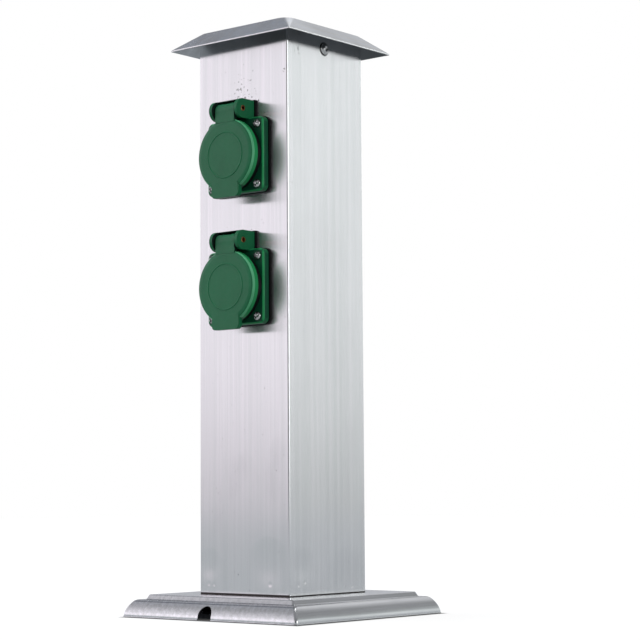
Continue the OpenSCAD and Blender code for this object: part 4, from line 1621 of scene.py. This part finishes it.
        # painted highlight on the flange's rounded edge
        if rounded and place.z > self.face - 0.8 * self.flange_edge and not hinge:
            return 1
        inside = abs(place.x) < self.ear_in + 0.1 and place.z > self.flange_back + self.hinge_wall + 0.1
        # darkest painted shade inside the hinge
        if inside and place.y > self.flange_half:
            return 3
        sides = reach < self.flange_half + 0.05 and abs(reach - self.flange_half) < 0.1
        return 2 if abs(place.z - self.face) < 0.05 or (sides and not hinge) else 0

    def build_hinge(self, palette: Palette) -> None:
        """Build the hollow ended pin and the spring wound on it.

        Args:
            palette: The post's materials.
        """
        end = self.ear_out + 0.1
        rows = [(0.0, -end + 9), (1.25, -end + 9), (1.3, -end + 0.2), (1.4, -end)]
        rows += [(self.pin_r - 0.3, -end), (self.pin_r, -end + 0.3)]
        rows += [(radius, -along) for radius, along in reversed(rows)]
        pin = turned(f"{self.prefix}_pin_turned", rows, sides=40)
        out, up = self.pin
        lay = Matrix.Translation((0, up * MM, out * MM)) @ Matrix.Rotation(math.radians(90), 4, "Y")
        pin.data.transform(lay)
        smooth(self.to_world(pin), degrees=38)
        mount(pin, "post", palette, "brass", f"{self.prefix}_hinge_pin")
        coil_r, start, end_angle = self.pin_r + 1, -25, 90 + 3 * 360
        half = self.spring_half - self.spring_wire / 2 - 0.4
        turns = []
        for angle in range(start, end_angle + 1, 10):
            x = -half + 2 * half * (angle - start) / (end_angle - start)
            turn = math.radians(angle)
            turns.append((x, up + coil_r * math.sin(turn), out + coil_r * math.cos(turn)))
        lead = math.radians(start)
        first = (turns[0][0], turns[0][1] - 3 * math.cos(lead), turns[0][2] + 3 * math.sin(lead))
        reach = out - self.flange_back - self.hinge_wall - self.spring_wire / 2 - 0.1
        last = (turns[-1][0], turns[-1][1], turns[-1][2] - reach)
        path = [self.spot(*point) for point in [first, *turns, last]]
        values = {"Diameter": self.spring_wire * MM, "Facets": 12}
        values["Finish"] = palette.materials["spring_steel"]
        spring = strand_recipe().run(f"{self.prefix}_spring_wound", path, values, edges=True)
        mount(smooth(spring, degrees=50), "post", palette, "spring_steel", f"{self.prefix}_lid_spring")

    def screw(self) -> bpy.types.Object:
        """Make one pan head screw with a cross recess.

        Returns:
            The screw at the origin, pointing up.
        """
        radius, height, rim = self.head_r, self.head_h, self.head_rim
        rows = [(0.0, -self.shank_len), (self.shank_r, -self.shank_len), (self.shank_r, 0.0)]
        rows += [(radius - 0.1, 0.0), (radius, 0.15), (radius, rim)]
        for degrees in (12, 26, 40, 54, 68, 80):
            angle = math.radians(degrees)
            rows.append((radius * math.cos(angle) ** 0.7, rim + (height - rim) * math.sin(angle)))
        body = turned("flange screw", [*rows, (0.0, height)], sides=36)
        reach, half = self.cross_reach, self.cross_half
        bar = [(-reach, -half), (reach, -half), (reach, half), (-reach, half)]
        arms = []
        for turn in (0, 90):
            arm = prism("arm", bar, 0.4, 3.0, flat)
            arm.data.transform(Matrix.Rotation(math.radians(turn), 4, "Z"))
            arms.append(arm)
        return smooth(combine(body, arms, "DIFFERENCE"), degrees=35)

    def build_screws(self, palette: Palette) -> None:
        """Build the four screws in the flange's corners.

        Args:
            palette: The post's materials.
        """
        at = self.screw_at
        places = [self.spot(x, y, self.face + 0.1) for x in (-at, at) for y in (-at, at)]
        seed = 3 if self.prefix == "upper" else 12
        name, ways = f"{self.prefix}_flange_screw_set", [(0, -1, 0)] * len(places)
        piece = fasten(name, self.screw(), places, ways, palette, "screw_steel", seed)
        mount(piece, "post", palette, "screw_steel", f"{self.prefix}_flange_screws")

    def build(self, palette: Palette) -> None:
        """Build the socket and dress the solids inside it.

        Args:
            palette: The post's materials.
        """
        self.build_housing(palette)
        self.build_lid(palette)
        self.build_hinge(palette)
        self.build_screws(palette)
        inner = {
            "gasket": "black_rubber",
            "lid_seal": "black_rubber",
            "insert": "black_plastic",
            "pin_plate": "black_plastic",
            "insert_screw": "screw_steel",
            "contact_carrier": "grey_plastic",
            "line_contacts": "brass",
            "earth_clip": "spring_steel",
            "contact_screws": "screw_steel",
            "flange_nuts": "screw_steel",
        }
        for node, slot in inner.items():
            palette.dress(f"{self.prefix}_{node}", slot)


@dataclass
class Wiring:
    """Leads between the terminal block and the sockets, and the small parts that hold them."""

    pole_pitch: float = 9.5
    block_y: float = 24.6
    block_z: float = 112.0
    cross_z: float = 135.0
    loop_z: float = 89.0
    socket_y: float = -13.0
    lower_z: float = HEIGHTS["lower"]
    socket_pitch: float = HEIGHTS["upper"] - HEIGHTS["lower"]
    earth_down: float = 13.0
    stud_x: float = 31.6
    bend_r: float = 5.0
    diameter: float = 2.4

    def bent(self, corners: Sequence[Point3]) -> list[Point3]:
        """Round the square corners of a route.

        Args:
            corners: Points of the route, in millimetres.

        Returns:
            The route with a round bend at each inner point.
        """
        points = [Vector(corner) for corner in corners]
        route = [points[0]]
        for before, corner, after in zip(points, points[1:], points[2:]):
            back, ahead = (before - corner).normalized(), (after - corner).normalized()
            for step in range(11):
                turn = math.radians(9 * step)
                route.append(
                    corner + self.bend_r * (back * (1 - math.sin(turn)) + ahead * (1 - math.cos(turn)))
                )
        route.append(points[-1])
        return [tuple(point) for point in route]

    def routes(self) -> dict[str, list[list[Point3]]]:
        """Lay out each lead.

        Returns:
            A list of routes for each lead, one for each length of it.
        """
        found: dict[str, list[list[Point3]]] = {}
        for name, x, drop in (
            ("line", -self.pole_pitch, 0.0),
            ("neutral", self.pole_pitch, 0.0),
            ("earth", 0.0, self.earth_down),
        ):
            end_z = self.lower_z - drop - 0.4
            riser = self.bent(
                [
                    (x, self.block_y, self.block_z + 2),
                    (x, self.block_y, self.cross_z),
                    (x, self.socket_y, self.cross_z),
                    (x, self.socket_y, end_z),
                ]
            )
            link = [(x, self.socket_y, end_z + 0.8), (x, self.socket_y, end_z + self.socket_pitch)]
            found[name] = [riser, link]
        found["earth"].append(
            self.bent(
                [
                    (0.0, self.block_y, self.block_z - 2),
                    (0.0, self.block_y, self.loop_z),
                    (self.stud_x, self.block_y, self.loop_z),
                    (self.stud_x, self.block_y, self.block_z - 9),
                ]
            )
        )
        return found

    def build(self, palette: Palette) -> None:
        """Build the leads and dress the terminal parts.

        Args:
            palette: The post's materials.
        """
        slots = {"line": "brown_pvc", "neutral": "blue_pvc", "earth": "green_yellow_pvc"}
        recipe = strand_recipe()
        for name, lengths in self.routes().items():
            slot = slots[name]
            values = {"Diameter": self.diameter * MM, "Facets": 20}
            values["Finish"] = palette.materials[slot]
            parts = [
                recipe.run(f"{name}_sheath_{i}", route, values, edges=True)
                for i, route in enumerate(lengths)
            ]
            mesh = bmesh.new()
            for part in parts:
                mesh.from_mesh(part.data)
                bpy.data.objects.remove(part)
            sheath = piece_from(f"{name}_lead_sheath", mesh)
            mount(smooth(sheath, degrees=50), "post", palette, slot, f"lead_{name}")
        others = {
            "terminal_bracket": "zinc_steel",
            "terminal_block": "white_plastic",
            "terminal_tubes": "brass",
            "terminal_clamp_screws": "screw_steel",
            "terminal_mount_screws": "screw_steel",
            "earth_stud": "screw_steel",
            "earth_nuts": "screw_steel",
            "earth_lug": "brass",
        }
        for node, slot in others.items():
            palette.dress(node, slot)


@dataclass(frozen=True)
class SoftWall:
    """Large soft box of the studio: its way, its spread and how bright it is at each height."""

    azimuth: float
    full: float
    fade: float
    colour: str
    levels: tuple[Point2, ...]  # sine of the elevation, brightness

    def light(self, tree: bpy.types.NodeTree, way: bpy.types.NodeSocket) -> bpy.types.Node:
        """Add the nodes that give this wall's light in a direction.

        Args:
            tree: Node tree of the world.
            way: Direction from the post.

        Returns:
            The node with the light as a colour.
        """
        add = partial(add_node, tree)
        height = add("ShaderNodeSeparateXYZ", None, {0: way}).outputs["Z"]
        level: bpy.types.Node | float = self.levels[0][1]
        for (low, before), (high, after) in zip(self.levels, self.levels[1:]):
            rise = {"Value": height, **stretch((low, high), (0.0, after - before))}
            step = add("ShaderNodeMapRange", None, rise)
            level = add("ShaderNodeMath", None, {0: level, 1: step})
        times = {"operation": "MULTIPLY"}
        level_way = add("ShaderNodeVectorMath", times, {0: way, 1: (1.0, 1.0, 0.0)})
        unit = add("ShaderNodeVectorMath", {"operation": "NORMALIZE"}, {0: level_way})
        turn = math.radians(self.azimuth)
        ways = {0: unit, 1: (math.cos(turn), math.sin(turn), 0.0)}
        near = add("ShaderNodeVectorMath", {"operation": "DOT_PRODUCT"}, ways).outputs["Value"]
        rim = (math.cos(math.radians(self.fade)), math.cos(math.radians(self.full)))
        ends = {"Value": near, **stretch(rim, (0.0, 1.0))}
        inside = add("ShaderNodeMapRange", {"interpolation_type": "SMOOTHSTEP"}, ends)
        amount = add("ShaderNodeMath", times, {0: level, 1: inside})
        light = {0: linear(self.colour)[:3], "Scale": amount}
        return add("ShaderNodeVectorMath", {"operation": "SCALE"}, light)


@dataclass
class Studio:
    """White sweep with soft walls for what the post mirrors and lamps for its matt light.

    What the steel mirrors makes its look, so each wall stands where one face mirrors it. Glossy
    rays see the room and its walls, other light comes from the lamps, and the camera sees white.
    """

    eye: Point3 = (864.0, -1000.1, 81.65)
    yaw: float = 39.70
    pitch: float = 5.071
    roll: float = -0.370
    lens: float = 109.41
    sensor: float = 36.0
    floor_half: float = 4000.0
    floor_drop: float = 0.2  # the floor lies this far below the foot, so that they don't flicker
    covered_half: float = 78.7  # the floor under the foot and its contact shadow stay dark
    shadow_shift: float = 1.8  # the shadow reaches further on the camera's side
    shadow_blur: float = 1.5
    shadow_glow: float = 0.05
    room: SoftWall = SoftWall(
        0.0, 170.0, 179.9, "#f8fafe", ((0.0, 0.14), (0.3, 0.14), (0.6, 0.24), (1.0, 0.26))
    )
    walls: tuple[SoftWall, ...] = (
        SoftWall(  # mirrored by the front face, and higher up by the foot's front flare
            -140.0,
            32.0,
            72.0,
            "#fff9ff",
            ((-0.02, 0.52), (0.03, 0.79), (0.06, 0.92), (0.1, 0.95), (0.22, 0.93))
            + ((0.34, 0.8), (0.5, 0.42), (0.66, 0.1), (0.8, 0.02)),
        ),
        SoftWall(  # mirrored by the right face
            52.0,
            32.0,
            80.0,
            "#f7fdfb",
            ((-0.02, 0.38), (0.03, 0.49), (0.1, 0.6), (0.22, 0.73))
            + ((0.28, 0.56), (0.36, 0.22), (0.5, 0.08)),
        ),
        SoftWall(  # mirrored by the roof's right slope
            102.0,
            14.0,
            36.0,
            "#ffffff",
            ((0.35, 0.0), (0.5, 0.34), (0.75, 0.36), (0.9, 0.1), (1.0, 0.0)),
        ),
        SoftWall(  # mirrored by the roof's front slope
            165.0, 22.0, 40.0, "#dce8ff", ((0.4, 0.0), (0.6, 0.1), (0.85, 0.1), (0.95, 0.0))
        ),
        SoftWall(  # narrow, mirrored by the roof's front fold
            123.0, 3.0, 10.0, "#ffffff", ((0.45, 0.0), (0.58, 0.42), (0.78, 0.42), (0.88, 0.0))
        ),
        SoftWall(  # behind the post, mirrored by the flat top of the foot
            130.0, 40.0, 70.0, "#f4f7ff", ((-0.02, 0.2), (0.02, 0.42), (0.25, 0.42), (0.4, 0.0))
        ),
        SoftWall(  # overhead, mirrored by the folds and by the foot's mitre
            122.0, 35.0, 60.0, "#ffffff", ((0.9, 0.0), (0.94, 2.4), (1.0, 2.4))
        ),
        SoftWall(  # narrow, mirrored by the column's bend and by the mouldings' right edges
            9.0, 7.0, 22.0, "#ffffff", ((-0.05, 0.3), (0.05, 2.8), (0.3, 2.4), (0.42, 0.0))
        ),
    )
    lamps: tuple[SoftWall, ...] = (
        SoftWall(0.0, 170.0, 179.9, "#ffffff", ((0.0, 0.12), (0.4, 0.15), (1.0, 0.5))),
        SoftWall(-158.0, 26.0, 46.0, "#f2f8ff", ((-0.02, 1.8), (0.1, 4.4), (0.6, 4.0), (0.9, 0.3))),
        SoftWall(-18.0, 12.0, 30.0, "#ffffff", ((-0.02, 0.9), (0.1, 1.8), (0.6, 1.7), (0.9, 0.3))),
    )
    paper: float = 0.2  # how much of the lamps' light the floor returns
    glow_seen: float = 0.87  # its own glow, in the camera and in what mirrors it
    glow_mirrored: float = 0.4
    floor_tint: str = "#eff6fa"  # of the glow in what mirrors it

    def build_camera(self) -> None:
        """Set up the camera where the photograph was taken."""
        yaw, pitch, roll = (math.radians(a) for a in (self.yaw, self.pitch, self.roll))
        ahead = Vector(
            (-math.sin(yaw) * math.cos(pitch), math.cos(yaw) * math.cos(pitch), math.sin(pitch))
        )
        right = ahead.cross(Vector((0, 0, 1))).normalized()
        above = right.cross(ahead)
        side = right * math.cos(roll) + above * math.sin(roll)
        top = above * math.cos(roll) - right * math.sin(roll)
        camera = bpy.data.objects.new("camera", bpy.data.cameras.new("camera"))
        camera.matrix_world = (
            Matrix.Translation(Vector(self.eye) * MM)
            @ Matrix((side, top, -ahead)).transposed().to_4x4()
        )
        camera.data.lens = self.lens
        camera.data.sensor_width = self.sensor
        camera.data.clip_start, camera.data.clip_end = 0.05, 50.0
        bpy.context.scene.collection.objects.link(camera)
        bpy.context.scene.camera = camera

    def build_floor(self) -> None:
        """Lay a satin floor that looks white to the camera and keeps the post's shadow."""
        reach, level = self.floor_half * MM, -self.floor_drop * MM
        mesh = bmesh.new()
        corners = ((-reach, -reach), (reach, -reach), (reach, reach), (-reach, reach))
        mesh.faces.new([mesh.verts.new((*corner, level)) for corner in corners])
        data = bpy.data.meshes.new("floor")
        mesh.to_mesh(data)
        mesh.free()
        floor = bpy.data.objects.new("floor", data)
        bpy.context.scene.collection.objects.link(floor)
        material = bpy.data.materials.new("satin white floor")
        material.use_nodes = True
        material.node_tree.nodes.clear()
        add = partial(add_node, material.node_tree)
        path = add("ShaderNodeLightPath").outputs
        rays = {0: path["Is Glossy Ray"], 1: path["Is Transmission Ray"]}
        mirrored = add("ShaderNodeMath", {"operation": "MAXIMUM"}, rays)
        times = {"operation": "MULTIPLY"}
        dim = add("ShaderNodeMath", times, {0: mirrored, 1: self.glow_mirrored})
        seen = {0: path["Is Camera Ray"], 1: self.glow_seen, 2: dim}
        glow = add("ShaderNodeMath", {"operation": "MULTIPLY_ADD"}, seen)
        place = add("ShaderNodeTexCoord").outputs["Object"]
        shift = (-self.shadow_shift * MM, self.shadow_shift * MM, 0.0)
        centred = add("ShaderNodeVectorMath", {"operation": "ADD"}, {0: place, 1: shift})
        away = add("ShaderNodeVectorMath", {"operation": "ABSOLUTE"}, {0: centred})
        sides = add("ShaderNodeSeparateXYZ", None, {0: away}).outputs
        far = add("ShaderNodeMath", {"operation": "MAXIMUM"}, {0: sides["X"], 1: sides["Y"]})
        edges = [(self.covered_half + way * self.shadow_blur) * MM for way in (-1, 1)]
        ends = {"Value": far, **stretch(edges, (self.shadow_glow, 1.0))}
        open_floor = add("ShaderNodeMapRange", None, ends)
        open_glow = add("ShaderNodeMath", times, {0: glow, 1: open_floor})
        paper = add("ShaderNodeBsdfDiffuse", None, {"Color": [self.paper] * 3 + [1.0]})
        tints = {0: path["Is Camera Ray"], 6: linear(self.floor_tint), 7: WHITE}
        tint = add("ShaderNodeMix", {"data_type": "RGBA"}, tints).outputs[2]
        lit = add("ShaderNodeEmission", None, {"Color": tint, "Strength": open_glow})
        both = add("ShaderNodeAddShader", None, {0: paper, 1: lit})
        add("ShaderNodeOutputMaterial", None, {"Surface": both})
        floor.data.materials.append(material)

    def build_world(self) -> None:
        """Light the post from the soft walls, and show the camera a plain white background."""
        world = bpy.data.worlds.new("studio")
        bpy.context.scene.world = world
        world.use_nodes = True
        tree = world.node_tree
        tree.nodes.clear()
        add = partial(add_node, tree)
        way = add("ShaderNodeTexCoord").outputs["Generated"]
        sums = []
        for group in ((self.room, *self.walls), self.lamps):
            total = group[0].light(tree, way)
            for wall in group[1:]:
                lights = {0: total, 1: wall.light(tree, way)}
                total = add("ShaderNodeVectorMath", {"operation": "ADD"}, lights)
            sums.append(total)
        path = add("ShaderNodeLightPath").outputs
        rays = {0: path["Is Glossy Ray"], 1: path["Is Transmission Ray"]}
        mirrored = add("ShaderNodeMath", {"operation": "MAXIMUM"}, rays)
        colour = {"data_type": "RGBA"}
        lit = add("ShaderNodeMix", colour, {0: mirrored, 6: sums[1], 7: sums[0]}).outputs[2]
        seen = {0: path["Is Camera Ray"], 6: lit, 7: WHITE}
        shown = add("ShaderNodeMix", colour, seen).outputs[2]
        back = add("ShaderNodeBackground", None, {"Color": shown, "Strength": 1.0})
        add("ShaderNodeOutputWorld", None, {"Surface": back})

    def build(self) -> None:
        """Build the floor, the light and the camera."""
        self.build_camera()
        self.build_floor()
        self.build_world()
        bpy.context.scene.view_settings.view_transform = "Standard"


# What is set on the post's surfaces, in millimetres

# marks of the spot welds: centre, radius and depth
WELDS: tuple[tuple[Point3, float, float], ...] = (
    ((-31.3, -39.6, 21.5), 2.2, 0.05),
    ((-26.6, -39.6, 21.2), 1.8, 0.05),
    ((23.1, -39.6, 22.2), 2.2, 0.05),
    ((39.6, -30.4, 22.0), 2.2, 0.05),
    ((39.6, -23.9, 23.6), 1.8, 0.05),
    ((39.6, 25.2, 19.1), 1.8, 0.05),
    ((39.6, 37.9, 19.6), 1.3, 0.04),
    # the sheet is drawn in slightly round the welds, which bends its reflection
    ((-31.0, -39.6, 33.0), 13.0, 0.2),
    ((22.0, -39.6, 34.0), 20.0, 0.3),
    ((39.6, -27.0, 33.0), 14.0, 0.18),
    ((39.6, 18.0, 20.0), 26.0, 0.45),
)

# soiled spots above the upper socket and near the roof: centre and radius
SOILED: tuple[tuple[Point3, float], ...] = (
    ((-2.0, -39.6, 346.0), 27.0),
    ((12.0, -39.6, 338.0), 16.0),
    ((39.6, -28.0, 375.0), 9.0),
    ((37.0, -39.6, 361.0), 5.0),
)

# seats of the roof's screws, with painted shade round their heads: centre and radius
SEATS: tuple[tuple[Point3, float], ...] = (((39.6, *ROOF_SCREW), 4.1), ((-39.6, *ROOF_SCREW), 4.1))

# what the foot and its ledge share
PRESSED = BrushedSheet(
    "stainless_sheet_pressed_foot",
    colour="#f7f7fb",
    shade="#e8e9ee",
    grain=Grain.FRONT_TO_BACK,
    roughness=0.15,
    anisotropy=0.8,
    line_len_mm=26.0,
    wave_mm=30.0,
    wave_height_mm=0.08,
    smudge=0.15,
)

FINISHES: tuple[tuple[str, Finish], ...] = (
    (  # long upright lines that stretch the reflections up and down, with a soiled patch
        "brushed_steel",
        BrushedSheet(
            "stainless_sheet_brushed_upright",
            dents=WELDS,
            specks=SOILED,
            # painted shade round the roof's screws
            seats=SEATS,
            # painted shade just above the foot
            crevice_z=15.1,
        ),
    ),
    # brighter and glossier than the column, with short lines from the press
    ("foot_steel", PRESSED),
    (  # the flat ledge is painted darker than the flare, as shade
        "ledge_steel",
        replace(PRESSED, name="stainless_sheet_dull_ledge", colour="#d0d0d6", shade="#c2c2c9"),
    ),
    (  # weathered from above, with brown smudges
        "roof_steel",
        BrushedSheet(
            "stainless_sheet_pressed_roof",
            colour="#e2e7f0",
            shade="#d8dde6",
            grain=Grain.FRONT_TO_BACK,
            roughness=0.18,
            anisotropy=0.8,
            line_len_mm=60.0,
            wave_mm=40.0,
            wave_height_mm=0.1,
            smudge=0.3,
            smudge_tone="#94897f",
        ),
    ),
    (  # light line along the roof's rim
        "cut_edge",
        BrushedSheet("stainless_sheet_cut_edge", colour="#f2f2f4", shade="#e4e4e7", roughness=0.24),
    ),
    # dark band under the roof, painted shade, in itself and in the column's reflection
    ("roof_inside", EaveSheet("stainless_sheet_unbrushed_inside")),
    # metal of the small pieces: dull plating, bright screws, drawn wire, reddish turned brass
    ("zinc_steel", CastMetal("zinc_plated_sheet_steel", "#b4b8be", "#8f949b", 0.36, 3.0)),
    ("screw_steel", CastMetal("nickel_plated_screw_steel", "#d0d0d0", "#a8a8a9", 0.15, 0.8)),
    ("spring_steel", CastMetal("spring_steel_drawn", "#a7a9ad", "#84868b", 0.3, 0.7, 0.002)),
    ("brass", CastMetal("copper_rich_brass_turned", "#e29a68", "#c07c4e", 0.28, 0.9, 0.002)),
    # deep green, satin, with a trace of dust; lighter copies paint light, darker ones shade
    ("green_plastic", MouldedPlastic("green_polyamide_moulded", dust=0.02)),
    ("green_lit_edge", MouldedPlastic("green_polyamide_rubbed_edge", "#28a362", "#229757", 0.3)),
    ("green_shaded", MouldedPlastic("green_polyamide_grimy", "#09573a", "#084e34", 0.4)),
    ("green_deep_shade", MouldedPlastic("green_polyamide_under_grime", "#0b2a20", "#08211a", 0.5)),
    ("green_highlight", MouldedPlastic("green_polyamide_worn_pale", "#6cc795", "#5cb985", 0.3)),
    # mouldings behind the lids and in the column, seen only when they are open
    ("black_plastic", MouldedPlastic("black_polyamide_moulded", "#16171a", "#0f1012", 0.38)),
    ("grey_plastic", MouldedPlastic("grey_thermoset_moulded", "#6a6d73", "#5b5e63", 0.5)),
    ("white_plastic", MouldedPlastic("white_polyamide_moulded", "#dcdad2", "#cfccc2", 0.4)),
    (  # soft and coarse, almost without gloss
        "black_rubber",
        MouldedPlastic(
            "black_rubber_moulded",
            "#09090b",
            "#060607",
            0.55,
            ior=1.52,
            specular=0.2,
            grit_mm=0.6,
            grit_height_mm=0.012,
        ),
    ),
    # waxy sheaths in the usual colours of line, neutral and earth
    ("brown_pvc", LeadSheath("brown_pvc_extruded")),
    ("blue_pvc", LeadSheath("blue_pvc_extruded", "#2456a0")),
    ("green_yellow_pvc", LeadSheath("green_yellow_pvc_extruded", "#3f8f3a", "#d9c52b")),
)


def main() -> None:
    """Build the studio, the post and its sockets."""
    logging.basicConfig(level=logging.INFO, format="%(name)s: %(message)s")
    studio = Studio()
    studio.build()
    palette = Palette(FINISHES)
    Column().build(palette)
    Roof().build(palette)
    Foot().build(palette)
    for prefix, height in HEIGHTS.items():
        Socket(prefix, height).build(palette)
    Wiring().build(palette)


if __name__ == "__main__":
    main()
